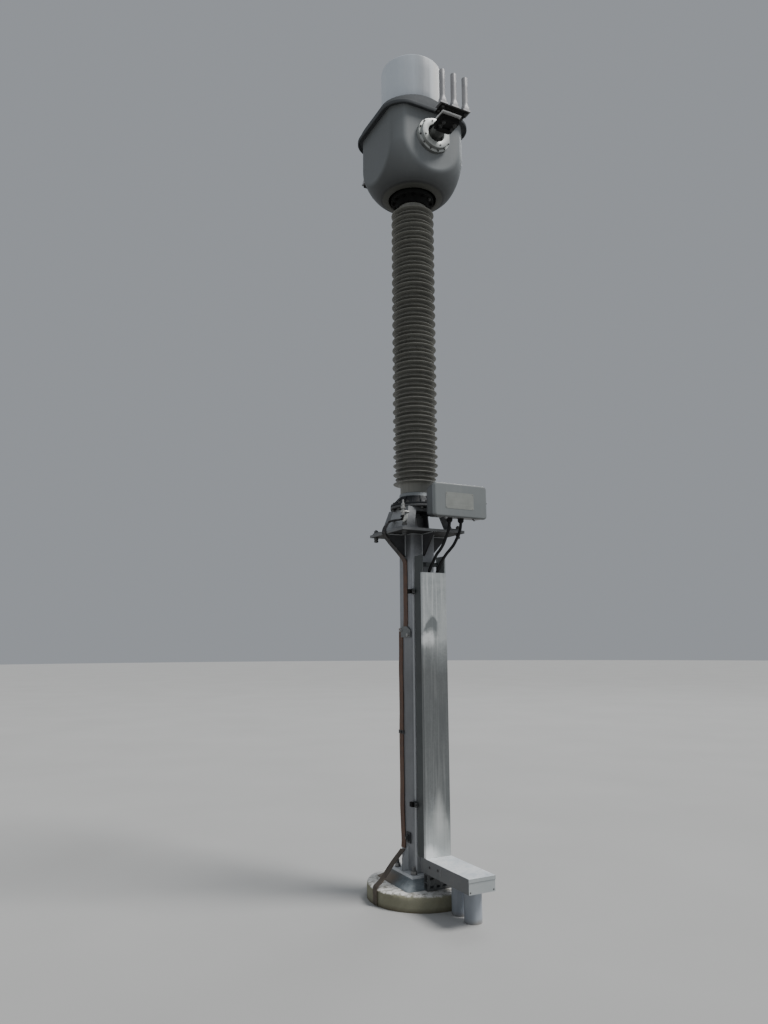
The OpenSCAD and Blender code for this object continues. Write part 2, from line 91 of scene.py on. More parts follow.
class Geo:
    """Gathers closed shells into one mesh."""

    def __init__(self):
        self.v, self.f, self.n = [], [], 0

    def add(self, v, f, M=None):
        v = np.asarray(v, float)
        if M is not None:
            v = (np.c_[v, np.ones(len(v))] @ np.array(M).T)[:, :3]
        self.v.append(v)
        self.f.extend(tuple(int(i) + self.n for i in q) for q in f)
        self.n += len(v)
        return self

    def rings(self, P, M=None, cap0=True, cap1=True, wrap=False):
        """P is (rings, points, 3); each ring is closed."""
        P = np.asarray(P, float)
        m, n, _ = P.shape
        k = np.arange(n)
        j = (k + 1) % n
        f = []
        for i in range(m if wrap else m - 1):
            a, b = i * n, ((i + 1) % m) * n
            f.extend(zip(a + k, a + j, b + j, b + k))
        v = P.reshape(-1, 3)
        extra = []
        if not wrap and cap0:
            c = len(v) + len(extra)
            extra.append(P[0].mean(0))
            f.extend((c, q, p) for p, q in zip(k, j))
        if not wrap and cap1:
            c = len(v) + len(extra)
            extra.append(P[-1].mean(0))
            o = (m - 1) * n
            f.extend((c, o + p, o + q) for p, q in zip(k, j))
        if extra:
            v = np.r_[v, np.array(extra)]
        return self.add(v, f, M)

    def lathe(self, prof, n=48, M=None, cap0=True, cap1=True, wrap=False):
        prof = np.asarray(prof, float)
        t = np.linspace(0, 2 * math.pi, n, endpoint=False)
        P = np.stack([prof[:, None, 0] * np.cos(t), prof[:, None, 0] * np.sin(t),
                      np.repeat(prof[:, 1:2], n, 1)], 2)
        return self.rings(P, M, cap0, cap1, wrap)

    def box(self, lo, hi, M=None):
        x0, y0, z0 = lo
        x1, y1, z1 = hi
        v = [(x0, y0, z0), (x1, y0, z0), (x1, y1, z0), (x0, y1, z0), (x0, y0, z1), (x1, y0, z1), (x1, y1, z1), (x0, y1, z1)]
        f = [(3, 2, 1, 0), (4, 5, 6, 7), (0, 1, 5, 4), (1, 2, 6, 5), (2, 3, 7, 6), (3, 0, 4, 7)]
        return self.add(v, f, M)

    def prism(self, pts, h, M=None):
        """Flat outline, anticlockwise in x and y, raised by h."""
        n = len(pts)
        v = [(x, y, 0) for x, y in pts] + [(x, y, h) for x, y in pts]
        f = [tuple(range(n - 1, -1, -1)), tuple(range(n, 2 * n))]
        f += [(i, (i + 1) % n, (i + 1) % n + n, i + n) for i in range(n)]
        return self.add(v, f, M)

    def tube(self, path, r, n=12, M=None, up=(1, 0, 0)):
        path = np.asarray(path, float)
        r = np.broadcast_to(np.asarray(r, float), (len(path),))
        t = np.gradient(path, axis=0)
        t /= np.linalg.norm(t, axis=1)[:, None]
        a = np.asarray(up, float)
        P = []
        ang = np.linspace(0, 2 * math.pi, n, endpoint=False)
        for i in range(len(path)):
            a = a - t[i] * (a @ t[i])
            a /= np.linalg.norm(a)
            b = np.cross(t[i], a)
            P.append(path[i] + r[i] * (np.cos(ang)[:, None] * a + np.sin(ang)[:, None] * b))
        return self.rings(np.array(P), M)

    def ribbon(self, path, w, th, e=0.0012, side=(0, 1, 0)):
        """Flat bar with softly rounded edges, w wide along side."""
        path = np.asarray(path, float)
        t = np.gradient(path, axis=0)
        t /= np.linalg.norm(t, axis=1)[:, None]
        s0 = np.asarray(side, float)
        w = np.broadcast_to(np.asarray(w, float), (len(path),))
        P = []
        for i in range(len(path)):
            s = s0 - t[i] * (s0 @ t[i])
            s /= np.linalg.norm(s)
            q = np.cross(t[i], s)
            hw, ht = w[i] / 2, th / 2
            loop = [(-hw + e, -ht), (hw - e, -ht), (hw, -ht + e), (hw, ht - e), (hw - e, ht), (0, ht), (-hw + e, ht), (-hw, ht - e), (-hw, -ht + e)]
            P.append([path[i] + s * x + q * y for x, y in loop])
        return self.rings(np.array(P))

    def nut(self, M, af, h, n=48, inner=0.46):
        t = np.linspace(0, 2 * math.pi, n, endpoint=False)
        loc = (t + math.pi / 6) % (math.pi / 3) - math.pi / 6
        r = af / 2 / np.cos(loc)
        c = np.maximum(0, r - af / 2 * 1.01) * 0.58
        ri = af * inner
        x, y = np.cos(t), np.sin(t)
        P = [np.stack([ri * x, ri * y, 0 * t], 1), np.stack([r * x, r * y, c + 1e-4], 1),
             np.stack([r * x, r * y, h - c - 1e-4], 1), np.stack([ri * x, ri * y, 0 * t + h], 1)]
        return self.rings(np.array(P), M)

    def washer(self, M, r, h, n=32):
        e = min(h * 0.3, 0.0008)
        return self.lathe([(r - e, 0), (r, e), (r, h - e), (r - e, h)], n, M)

    def stud(self, M, r, h, pitch=0.003, n=24):
        prof, z = [(r, 0)], 0.0
        while z + pitch < h - r * 0.25:
            prof += [(r, z + pitch * 0.15), (r * 0.9, z + pitch * 0.5), (r, z + pitch * 0.85)]
            z += pitch
        prof += [(r, h - r * 0.25), (r * 0.78, h)]
        return self.lathe(prof, n, M)

    def bolt(self, at, axis, af, head=None, washer=True, spin=0.0, dome=False):
        """Hexagon head on a washer, standing on a face at at."""
        M = to_axis(axis, at, spin)
        z = 0.0
        if washer:
            self.washer(M, af * 0.62, af * 0.09)
            z = af * 0.09
        h = head or af * 0.62
        self.nut(M @ Matrix.Translation((0, 0, z)), af, h)
        if dome:
            self.lathe([(af * 0.3, h + z - 1e-4), (af * 0.3, h + z + af * 0.16), (af * 0.24, h + z + af * 0.2)], 20, M)
        return self

    def bead(self, path, r=0.004, step=0.004):
        """Weld bead along a straight or bent path."""
        path = np.asarray(path, float)
        seg = np.linalg.norm(np.diff(path, axis=0), axis=1)
        s = np.r_[0, np.cumsum(seg)]
        m = max(3, int(s[-1] / step))
        u = np.linspace(0, s[-1], m)
        P = np.stack([np.interp(u, s, path[:, c]) for c in range(3)], 1)
        rr = r * (0.92 + 0.10 * np.sin(u / step * math.pi) + 0.07 * vnoise(P, 60, 3, 2))
        d = path[-1] - path[0]
        up = (1, 0, 0) if abs(d[0]) < 0.5 * np.linalg.norm(d) + 1e-9 else (0, 0, 1)
        return self.tube(P, rr, 8, up=up)

    def obj(self, name, mat, slot, replaces=(), sharp=38, bevel=None, segs=2, recalc=True):
        me = bpy.data.meshes.new(name)
        me.from_pydata([tuple(p) for p in np.concatenate(self.v)], [], self.f)
        me.validate()
        if recalc:
            import bmesh
            bm = bmesh.new()
            bm.from_mesh(me)
            bmesh.ops.recalc_face_normals(bm, faces=bm.faces)
            bm.to_mesh(me)
            bm.free()
        me.shade_smooth()
        me.set_sharp_from_angle(angle=math.radians(sharp))
        me.materials.append(mat)
        o = bpy.data.objects.new(name, me)
        bpy.context.scene.collection.objects.link(o)
        if bevel:
            add_bevel(o, bevel, segs)
        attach(o, "root")
        if replaces:
            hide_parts(*replaces)
        return o


def add_bevel(o, width, segs=2, angle=38):
    b = o.modifiers.new("edge", "BEVEL")
    b.width, b.segments, b.limit_method, b.angle_limit = width, segs, "ANGLE", math.radians(angle)
    b.miter_outer = "MITER_ARC"
    b.harden_normals = False
    b.use_clamp_overlap = True
    return b


def spline(pts, steps=8):
    p = np.asarray(pts, float)
    q = np.r_[[2 * p[0] - p[1]], p, [2 * p[-1] - p[-2]]]
    out = []
    for i in range(1, len(q) - 2):
        a, b, c, d = q[i - 1], q[i], q[i + 1], q[i + 2]
        for k in range(steps):
            t = k / steps
            out.append((2 * b + (c - a) * t + (2 * a - 5 * b + 4 * c - d) * t * t + (3 * b - a - 3 * c + d) * t ** 3) / 2)
    out.append(p[-1])
    return np.array(out)


def round_square_r(a, rc, t):
    """Distance from the axis to a rounded square of half width a, in direction t."""
    ph = np.abs((t + math.pi / 4) % (math.pi / 2) - math.pi / 4)
    k = a - rc
    flat = a / np.cos(ph)
    d = k * (np.cos(ph) + np.sin(ph))
    arc = d + np.sqrt(np.maximum(0, d * d - (2 * k * k - rc * rc)))
    return np.where(np.tan(ph) * a <= k, flat, arc)


def rrect(x0, x1, z0, z1, r, y, n=8):
    """Rounded rectangle in a plane of constant y, as a closed ring seen from -Y, anticlockwise."""
    out = []
    for cx, cz, a0 in ((x1 - r, z0 + r, -90), (x1 - r, z1 - r, 0), (x0 + r, z1 - r, 90), (x0 + r, z0 + r, 180)):
        for k in range(n + 1):
            a = math.radians(a0 + 90 * k / n)
            out.append((cx + r * math.cos(a), y, cz + r * math.sin(a)))
    return out


# ---------------------------------------------------------------- material helpers
class Mat:
    """Small wrapper over a node tree that ends in one surface shader."""

    def __init__(self, name, rough=0.5, metal=0.0, spec=0.5, coat=0.0):
        self.m = bpy.data.materials.new(name)
        self.m.use_nodes = True
        self.t = self.m.node_tree
        self.b = self.t.nodes["Principled BSDF"]
        self.b.inputs["Roughness"].default_value = rough
        self.b.inputs["Metallic"].default_value = metal
        self.b.inputs["Specular IOR Level"].default_value = spec
        if coat:
            self.b.inputs["Coat Weight"].default_value = coat
            self.b.inputs["Coat Roughness"].default_value = 0.25
        self.co = self.t.nodes.new("ShaderNodeTexCoord").outputs["Object"]
        self._sep = self._nrm = None

    def node(self, kind, **inputs):
        n = self.t.nodes.new(kind)
        for k, v in inputs.items():
            self.put(n.inputs[k.replace("_", " ")], v)
        return n

    def put(self, sock, v):
        if hasattr(v, "is_output") or isinstance(v, bpy.types.NodeSocket):
            self.t.links.new(v, sock)
        elif isinstance(v, (tuple, list)) and len(v) == 3 and sock.type == "RGBA":
            sock.default_value = (*v, 1.0)
        else:
            sock.default_value = v

    def scaled(self, s):
        n = self.t.nodes.new("ShaderNodeMapping")
        n.inputs["Scale"].default_value = s
        self.put(n.inputs["Vector"], self.co)
        return n.outputs["Vector"]

    def noise(self, scale, detail=4, rough=0.55, vec=None, dist=0.0):
        n = self.node("ShaderNodeTexNoise", Vector=vec or self.co, Scale=scale, Detail=detail, Roughness=rough, Distortion=dist)
        return n.outputs["Fac"]

    def voronoi(self, scale, vec=None, out="Color", feature="F1", rand=1.0):
        n = self.t.nodes.new("ShaderNodeTexVoronoi")
        n.feature = feature
        self.put(n.inputs["Vector"], vec or self.co)
        self.put(n.inputs["Scale"], scale)
        self.put(n.inputs["Randomness"], rand)
        return n.outputs[out]

    def xyz(self, i):
        if self._sep is None:
            self._sep = self.node("ShaderNodeSeparateXYZ", Vector=self.co)
        return self._sep.outputs[i]

    def up(self, i=2):
        """Z, or another component, of the surface normal."""
        if self._nrm is None:
            g = self.t.nodes.new("ShaderNodeNewGeometry")
            self._nrm = self.node("ShaderNodeSeparateXYZ", Vector=g.outputs["Normal"])
        return self._nrm.outputs[i]

    def steps(self, fac, pts, scale=1.0):
        """Piecewise linear curve through the points (place, value)."""
        out = None
        for (x0, v0), (x1, v1) in zip(pts[:-1], pts[1:]):
            piece = self.ramp(fac, x0, x1, 0.0 if out is not None else v0, v1 - v0 if out is not None else v1)
            out = piece if out is None else self.math("ADD", out, piece)
        return out

    def shade(self, col, k, dark=(0.006, 0.006, 0.006)):
        """Colour scaled by k, which runs from 0 to 1."""
        return self.mix(k, dark, col)

    def ramp(self, fac, lo, hi, a=0.0, b=1.0):
        n = self.t.nodes.new("ShaderNodeMapRange")
        n.clamp = True
        for k, v in (("Value", fac), ("From Min", lo), ("From Max", hi), ("To Min", a), ("To Max", b)):
            self.put(n.inputs[k], v)
        return n.outputs["Result"]

    def math(self, op, a, b=0.0):
        n = self.t.nodes.new("ShaderNodeMath")
        n.operation = op
        self.put(n.inputs[0], a)
        self.put(n.inputs[1], b)
        return n.outputs[0]

    def mix(self, fac, a, b, mode="MIX"):
        n = self.t.nodes.new("ShaderNodeMix")
        n.data_type = "RGBA"
        n.blend_type = mode
        self.put(n.inputs[0], fac)
        self.put(n.inputs[6], a)
        self.put(n.inputs[7], b)
        return n.outputs[2]

    def bump(self, height, dist=0.001, strength=1.0, normal=None):
        n = self.t.nodes.new("ShaderNodeBump")
        self.put(n.inputs["Height"], height)
        self.put(n.inputs["Distance"], dist)
        self.put(n.inputs["Strength"], strength)
        if normal is not None:
            self.put(n.inputs["Normal"], normal)
        return n.outputs["Normal"]

    def done(self, color=None, rough=None, metal=None, normal=None, under=0.30, down=(-0.08, -0.75)):
        # painted shade: every surface is mixed towards near-black where it looks down; under is the share of colour
        # kept
        if color is not None and under < 1:
            color = self.mix(self.ramp(self.up(), down[0], down[1], 0.0, 1 - under), color, (0.006, 0.006, 0.006))
        for k, v in (("Base Color", color), ("Roughness", rough), ("Metallic", metal), ("Normal", normal)):
            if v is not None:
                self.put(self.b.inputs[k], v)
        return self.m


def galvanised(name, base, light, spangle=60.0, contrast=0.5, rough=(0.38, 0.6), metal=0.55, streak=0.3, dull=(0.30, 0.31, 0.31), dull_amt=0.35, under=0.3, height_tone_and_shade=None, side=None, front=None, right=None):
    """Hot-dip zinc: crystal spangle, long run marks and patches of dull patina."""
    m = Mat(name, metal=metal)
    warp = m.noise(14, 3, 0.5)
    vec = m.t.nodes.new("ShaderNodeVectorMath")
    vec.operation = "ADD"
    m.put(vec.inputs[0], m.co)
    sc = m.t.nodes.new("ShaderNodeVectorMath")
    sc.operation = "SCALE"
    wn = m.node("ShaderNodeTexNoise", Vector=m.co, Scale=40.0, Detail=2.0)
    m.put(sc.inputs[0], wn.outputs["Color"])
    m.put(sc.inputs["Scale"], 0.012)
    m.put(vec.inputs[1], sc.outputs[0])
    cell = m.voronoi(spangle, vec.outputs[0])
    cell_v = m.node("ShaderNodeSeparateColor", Color=cell).outputs[0]
    fine = m.voronoi(spangle * 2.7, vec.outputs[0])
    fine_v = m.node("ShaderNodeSeparateColor", Color=fine).outputs[1]
    sp = m.math("ADD", m.math("MULTIPLY", cell_v, 0.65), m.math("MULTIPLY", fine_v, 0.35))
    runs = m.noise(1.0, 5, 0.6, m.scaled((38, 38, 1.6)))
    patch = m.noise(3.2, 5, 0.62)
    col = m.mix(m.ramp(sp, 0.15, 0.85, 0.5 - contrast / 2, 0.5 + contrast / 2), base, light)
    col = m.mix(m.ramp(runs, 0.50, 0.72, 0.0, streak), col, light)
    col = m.mix(m.ramp(patch, 0.45, 0.70, 0.0, dull_amt), col, dull)
    r = m.ramp(m.math("ADD", m.math("MULTIPLY", sp, 0.5), m.math("MULTIPLY", warp, 0.5)), 0.25, 0.75, rough[0], rough[1])
    nrm = m.bump(m.math("ADD", m.math("MULTIPLY", sp, 0.25), patch), 0.0006, 0.5)
    if height_tone_and_shade:
        # colour scaled along a curve over height; on the post this darkens the middle and paints shade towards the cap
        # plate
        col = m.shade(col, m.steps(m.math("ADD", m.xyz(2), m.math("MULTIPLY", patch, 0.12)), height_tone_and_shade))
    if side:
        # painted shade on side faces: colour darkened where the normal points along x
        col = m.shade(col, m.ramp(m.math("ABSOLUTE", m.up(0)), 0.5, 0.9, 1.0, side))
    if front:
        # painted light and shade on faces that look towards -y, below the cap plate: mixed towards the front colour
        col = m.mix(m.math("MULTIPLY", m.ramp(m.up(1), -0.6, -0.9, 0.0, 0.85), m.ramp(m.xyz(2), 2.38, 2.24)), col, front)
    # painted light: parts at positive x are mixed towards the right colour, so that rail reads lit beside one in shade
    if right:
        col = m.mix(m.ramp(m.xyz(0), -0.005, 0.005, 0.0, 0.85), col, right)
    return m.done(col, r, None, nrm, under)


# zinc on the post and plates, the brighter duct sheets, and older brackets
# post: darker along the middle, painted shade under the cap plate, and painted light on its faces towards -y
M_POST = galvanised("zinc_post", (0.255, 0.265, 0.280), (0.40, 0.41, 0.43), 75, 0.45, (0.42, 0.62), 0.45, 0.25, (0.20, 0.205, 0.215), 0.45,
                    height_tone_and_shade=[(0.20, 0.88), (0.60, 0.66), (1.50, 0.58), (2.05, 0.95), (2.36, 0.95), (2.53, 0.55)], front=(0.62, 0.64, 0.66))
M_PLATE = galvanised("zinc_plate", (0.36, 0.375, 0.385), (0.55, 0.57, 0.58), 70, 0.45, (0.45, 0.65), 0.3, 0.2, (0.26, 0.27, 0.28), 0.5)
M_BASEPLATE = galvanised("zinc_base_plate", (0.66, 0.69, 0.71), (0.88, 0.90, 0.92), 70, 0.45, (0.45, 0.65), 0.2, 0.2, (0.50, 0.52, 0.54), 0.5)
# cap plate and its gussets: dark and near-black copies of the plate zinc, painted shade under the cap plate
M_SHADED_CAP = galvanised("cap_plate_shaded_zinc", (0.14, 0.144, 0.148), (0.22, 0.225, 0.23), 70, 0.45, (0.7, 0.85), 0.0, 0.2, (0.10, 0.104, 0.108), 0.5, 0.0)
M_SHADED_CAP_GUSSET = galvanised("cap_gusset_shaded_zinc", (0.030, 0.031, 0.033), (0.065, 0.066, 0.070), 70, 0.45, (0.5, 0.7), 0.2, 0.2, (0.020, 0.020, 0.021), 0.5, 0.1)
# rails: near-black zinc as painted shade for the rail at negative x, lightened at positive x as painted light
M_RAIL = galvanised("zinc_rail", (0.048, 0.056, 0.056), (0.090, 0.099, 0.099), 90, 0.4, (0.45, 0.65), 0.3, 0.35, (0.042, 0.044, 0.046), 0.45, right=(0.30, 0.32, 0.32))
# foot duct: pale zinc with painted shade on its side and front faces
M_FOOTDUCT = galvanised("zinc_foot_duct", (0.74, 0.80, 0.84), (1.0, 1.0, 1.0), 45, 0.7, (0.40, 0.56), 0.2, 0.5, (0.48, 0.54, 0.59), 0.6, side=0.17, front=(0.41, 0.44, 0.44))
M_BRACKET = galvanised("zinc_bracket", (0.10, 0.105, 0.105), (0.18, 0.185, 0.185), 110, 0.4, (0.45, 0.65), 0.3, 0.15, (0.06, 0.06, 0.06), 0.5)


def duct_cover_mat():
    """Bright sheet: fresh spangle above, long white run marks, and scuffed grey lower down."""
    m = Mat("zinc_cover", metal=0.42)
    cell = m.node("ShaderNodeSeparateColor", Color=m.voronoi(95)).outputs[0]
    fine = m.node("ShaderNodeSeparateColor", Color=m.voronoi(260)).outputs[0]
    sp = m.math("ADD", m.math("MULTIPLY", cell, 0.55), m.math("MULTIPLY", fine, 0.45))
    runs = m.noise(1.0, 6, 0.62, m.scaled((55, 55, 1.3)), 0.4)
    broad = m.noise(1.0, 4, 0.6, m.scaled((9, 9, 1.1)), 0.6)
    patch = m.noise(2.6, 6, 0.65, None, 0.8)
    col = m.mix(m.ramp(sp, 0.1, 0.9, 0.2, 0.8), (0.36, 0.385, 0.385), (0.50, 0.53, 0.53))
    col = m.mix(m.ramp(runs, 0.52, 0.66, 0.0, 0.75), col, (0.74, 0.76, 0.75))
    col = m.mix(m.ramp(broad, 0.50, 0.68, 0.0, 0.55), col, (0.30, 0.33, 0.34))
    top = m.ramp(m.xyz(2), 1.2, 2.1, 0.0, 1.0)
    col = m.mix(m.math("MULTIPLY", top, m.ramp(patch, 0.40, 0.62, 0.0, 0.55)), col, (0.70, 0.72, 0.71))
    low = m.ramp(m.xyz(2), 0.30, 0.62, 0.55, 0.0)
    col = m.mix(low, col, (0.74, 0.77, 0.75))
    # a dull grey length between the bright ends
    wave = m.math("MULTIPLY", m.math("SUBTRACT", broad, 0.5), 0.5)
    col = m.shade(col, m.steps(m.math("ADD", m.xyz(2), wave), [(0.36, 0.90), (0.50, 0.74), (0.68, 0.45), (1.00, 0.38), (1.52, 0.36), (1.68, 0.66), (1.78, 1.0)]))
    # a pale flame rises from the foot, with a bright spot in the left corner under it
    zw = m.math("ADD", m.xyz(2), m.math("MULTIPLY", wave, 0.25))
    off = m.math("DIVIDE", m.math("ABSOLUTE", m.math("SUBTRACT", m.xyz(0), 0.018)), m.ramp(zw, 0.46, 0.74, 0.064, 0.022))
    off = m.math("ADD", off, m.math("MULTIPLY", m.math("SUBTRACT", patch, 0.5), 1.6))
    flame = m.math("MULTIPLY", m.ramp(off, 1.25, 0.15), m.math("MULTIPLY", m.ramp(zw, 0.36, 0.50), m.ramp(zw, 0.76, 0.58)))
    col = m.mix(m.math("MULTIPLY", flame, 0.55), col, (0.82, 0.84, 0.82))
    spot = m.math("MULTIPLY", m.ramp(m.xyz(0), 0.030, -0.040), m.ramp(zw, 0.385, 0.335))
    col = m.mix(m.math("MULTIPLY", spot, 0.85), col, (0.97, 0.98, 0.97))
    # bright drips end above a rounded dull patch, with a pale scuff under it
    blot = m.noise(16, 5, 0.6, None, 0.5)
    edge = m.math("ADD", m.xyz(2), m.math("MULTIPLY", m.math("SUBTRACT", broad, 0.5), 0.16))
    edge = m.math("ADD", edge, m.math("MULTIPLY", m.math("SUBTRACT", blot, 0.5), 0.10))
    px = m.math("MULTIPLY", m.math("ADD", m.xyz(0), 0.004), 14.0)
    bow = m.math("ADD", edge, m.math("MULTIPLY", m.math("MULTIPLY", px, px), 0.07))
    dull = m.math("MULTIPLY", m.ramp(bow, 1.915, 1.890), m.math("MULTIPLY", m.ramp(edge, 1.76, 1.82), m.ramp(m.xyz(0), 0.034, 0.016)))
    col = m.mix(m.math("MULTIPLY", dull, 0.85), col, (0.165, 0.182, 0.184))
    pale = m.math("MULTIPLY", m.ramp(m.xyz(0), 0.006, -0.012), m.math("MULTIPLY", m.ramp(edge, 1.68, 1.73), m.ramp(edge, 1.79, 1.76)))
    col = m.mix(m.math("MULTIPLY", pale, 0.75), col, (0.90, 0.92, 0.91))
    r = m.ramp(m.math("ADD", sp, patch), 0.7, 1.4, 0.30, 0.50)
    return m.done(col, r, None, m.bump(m.math("ADD", m.math("MULTIPLY", sp, 0.2), broad), 0.0008, 0.5))


def concrete_mat():
    m = Mat("concrete", rough=0.92, spec=0.25)
    z = m.xyz(2)
    big, mid, fine = m.noise(4, 6, 0.65, None, 0.5), m.noise(22, 6, 0.7), m.noise(160, 4, 0.7)
    col = m.mix(m.ramp(big, 0.35, 0.65), (0.250, 0.245, 0.176), (0.325, 0.318, 0.236))
    col = m.mix(m.ramp(mid, 0.52, 0.70, 0.0, 0.55), col, (0.235, 0.215, 0.145))
    top = m.ramp(m.math("ADD", z, m.math("MULTIPLY", m.math("SUBTRACT", mid, 0.5), 0.035)), 0.093, 0.102)
    top_col = m.mix(m.ramp(mid, 0.36, 0.52), (0.38, 0.365, 0.33), (0.97, 0.96, 0.92))
    top_col = m.shade(top_col, m.steps(m.xyz(0), [(-0.42, 1.0), (-0.20, 0.86), (0.20, 0.62)]))
    col = m.mix(top, col, top_col)
    low = m.ramp(m.math("ADD", z, m.math("MULTIPLY", big, 0.03)), 0.014, 0.045, 0.75, 0.0)
    col = m.mix(low, col, (0.105, 0.085, 0.055))
    right = m.ramp(m.math("ADD", m.xyz(0), m.math("MULTIPLY", big, 0.10)), 0.05, 0.22, 0.0, 0.75)
    col = m.mix(m.math("MULTIPLY", right, m.ramp(z, 0.100, 0.088)), col, (0.110, 0.088, 0.050))
    col = m.mix(m.ramp(fine, 0.55, 0.75, 0.0, 0.35), col, (0.14, 0.125, 0.10))
    pits = m.ramp(m.voronoi(230, None, "Distance"), 0.0, 0.35)
    h = m.math("ADD", m.math("MULTIPLY", mid, 1.2), m.math("MULTIPLY", pits, 0.35))
    return m.done(col, None, None, m.bump(m.math("ADD", h, m.math("MULTIPLY", fine, 0.4)), 0.003, 0.8))


def grout_mat():
    m = Mat("grout", rough=0.9, spec=0.25)
    big, mid, fine = m.noise(7, 6, 0.65, None, 0.6), m.noise(40, 5, 0.7), m.noise(220, 3, 0.7)
    col = m.mix(m.ramp(big, 0.35, 0.65), (0.155, 0.182, 0.195), (0.270, 0.305, 0.325))
    col = m.mix(m.ramp(mid, 0.55, 0.72, 0.0, 0.6), col, (0.42, 0.44, 0.45))
    brown = m.math("MULTIPLY", m.ramp(m.xyz(0), -0.13, -0.19), m.ramp(m.xyz(1), -0.06, 0.04, 0.0, 0.8))
    col = m.mix(brown, col, (0.255, 0.205, 0.155))
    return m.done(col, None, None, m.bump(m.math("ADD", mid, m.math("MULTIPLY", fine, 0.4)), 0.0025, 0.8))


def copper_mat(name, dark, light, edge, slant=False):
    m = Mat(name, metal=0.35)
    runs = m.noise(1.0, 5, 0.65, m.scaled((60, 60, 4)))
    blot, fine = m.noise(20, 6, 0.65, None, 0.7), m.noise(180, 3, 0.6)
    col = m.mix(m.ramp(blot, 0.35, 0.65), dark, light)
    col = m.mix(m.ramp(runs, 0.52, 0.72, 0.0, 0.6), col, edge)
    col = m.mix(m.ramp(fine, 0.58, 0.75, 0.0, 0.3), col, (0.05, 0.035, 0.03))
    if slant:
        chips = m.ramp(m.noise(75, 4, 0.6), 0.60, 0.66)
        black = m.mix(chips, (0.020, 0.017, 0.016), (0.24, 0.225, 0.205))
        col = m.mix(m.ramp(m.math("ADD", m.xyz(2), m.math("MULTIPLY", blot, 0.05)), 2.375, 2.425), col, black)
    return m.done(col, m.ramp(blot, 0.3, 0.7, 0.42, 0.66), None, m.bump(m.math("ADD", blot, m.math("MULTIPLY", fine, 0.3)), 0.0008, 0.6))


def pvc_mat():
    m = Mat("pvc", spec=0.45)
    big, fine = m.noise(9, 5, 0.6), m.noise(300, 3, 0.6)
    runs = m.noise(1.0, 4, 0.6, m.scaled((50, 50, 3)))
    col = m.mix(m.ramp(big, 0.3, 0.7), (0.37, 0.405, 0.455), (0.43, 0.465, 0.51))
    col = m.mix(m.ramp(runs, 0.55, 0.75, 0.0, 0.3), col, (0.50, 0.53, 0.56))
    low = m.ramp(m.math("ADD", m.xyz(2), m.math("MULTIPLY", big, 0.04)), 0.022, 0.05, 0.7, 0.0)
    col = m.mix(low, col, (0.27, 0.245, 0.21))
    # painted shade: faces that look towards -x are darkened
    col = m.shade(col, m.ramp(m.up(0), -0.75, -0.15, 0.66, 1.0))
    return m.done(col, m.ramp(big, 0.3, 0.7, 0.40, 0.55), None, m.bump(fine, 0.0002, 0.4))


def cast_mat(name, dark, light, rough=(0.5, 0.7), metal=0.35, grain=0.5, down_shade=0.5):
    """Sand-cast alloy: fine grain, darker mottling, and painted shade on faces that look down."""
    m = Mat(name, metal=metal)
    big, mid, fine = m.noise(6, 5, 0.6, None, 0.4), m.noise(35, 5, 0.65), m.noise(420, 3, 0.6)
    col = m.mix(m.ramp(big, 0.3, 0.7), dark, light)
    col = m.mix(m.ramp(mid, 0.55, 0.75, 0.0, 0.4), col, tuple(c * 0.55 for c in dark))
    # painted shade: faces that look down are mixed towards a darker copy of the colour
    down = m.ramp(m.up(), -0.2, -0.95, 0.0, down_shade)
    col = m.mix(down, col, tuple(c * 0.6 for c in dark))
    return m.done(col, m.ramp(mid, 0.3, 0.7, *rough), None, m.bump(m.math("ADD", fine, mid), 0.0005, grain))


def painted(name, dark, light, dust, rough=(0.32, 0.48), spec=0.45, dust_amt=0.35, runs_amt=0.25, orange=0.12, under=0.3, down=(-0.08, -0.75)):
    """Sprayed paint with faint run marks, dust on upward faces and a slight orange-peel grain."""
    m = Mat(name, spec=spec)
    big, mid, fine = m.noise(2.4, 4, 0.55, None, 0.3), m.noise(28, 5, 0.65), m.noise(520, 2, 0.5)
    runs = m.noise(1.0, 5, 0.6, m.scaled((26, 26, 1.8)))
    col = m.mix(m.ramp(big, 0.3, 0.7), dark, light)
    col = m.mix(m.ramp(runs, 0.50, 0.75, 0.0, runs_amt), col, dust)
    up = m.math("MULTIPLY", m.ramp(m.up(), 0.25, 0.95), m.ramp(mid, 0.30, 0.75, 0.2, 1.0))
    col = m.mix(m.math("MULTIPLY", up, dust_amt), col, dust)
    return m.done(col, m.ramp(mid, 0.25, 0.75, *rough), None, m.bump(fine, 0.00015, orange), under, down)


def cover_mat():
    """White moulded cover: painted shade in soft vertical bands down the front, a painted highlight on the +x side, and
    faint run marks.
    """
    m = Mat("cover_white", spec=0.45)
    big, mid, fine = m.noise(2.4, 4, 0.55, None, 0.3), m.noise(28, 5, 0.65), m.noise(520, 2, 0.5)
    runs = m.noise(1.0, 5, 0.6, m.scaled((26, 26, 1.2)))
    col = m.mix(m.ramp(big, 0.3, 0.7), (0.66, 0.715, 0.775), (0.71, 0.765, 0.82))
    x = m.math("ADD", m.xyz(0), m.math("MULTIPLY", m.math("SUBTRACT", runs, 0.5), 0.05))
    # painted shade: soft vertical bands darken the cover across x, darkest near the middle
    col = m.shade(col, m.steps(x, [(-0.24, 0.92), (-0.19, 0.97), (-0.11, 0.86), (-0.03, 0.50), (0.02, 0.52), (0.06, 1.0)]))
    # painted highlight: the +x side is mixed towards near-white
    col = m.mix(m.ramp(x, 0.02, 0.11), col, (0.95, 0.95, 0.93))
    col = m.mix(m.ramp(runs, 0.55, 0.75, 0.0, 0.18), col, (0.86, 0.87, 0.87))
    return m.done(col, m.ramp(mid, 0.25, 0.75, 0.30, 0.42), None, m.bump(fine, 0.00015, 0.12))


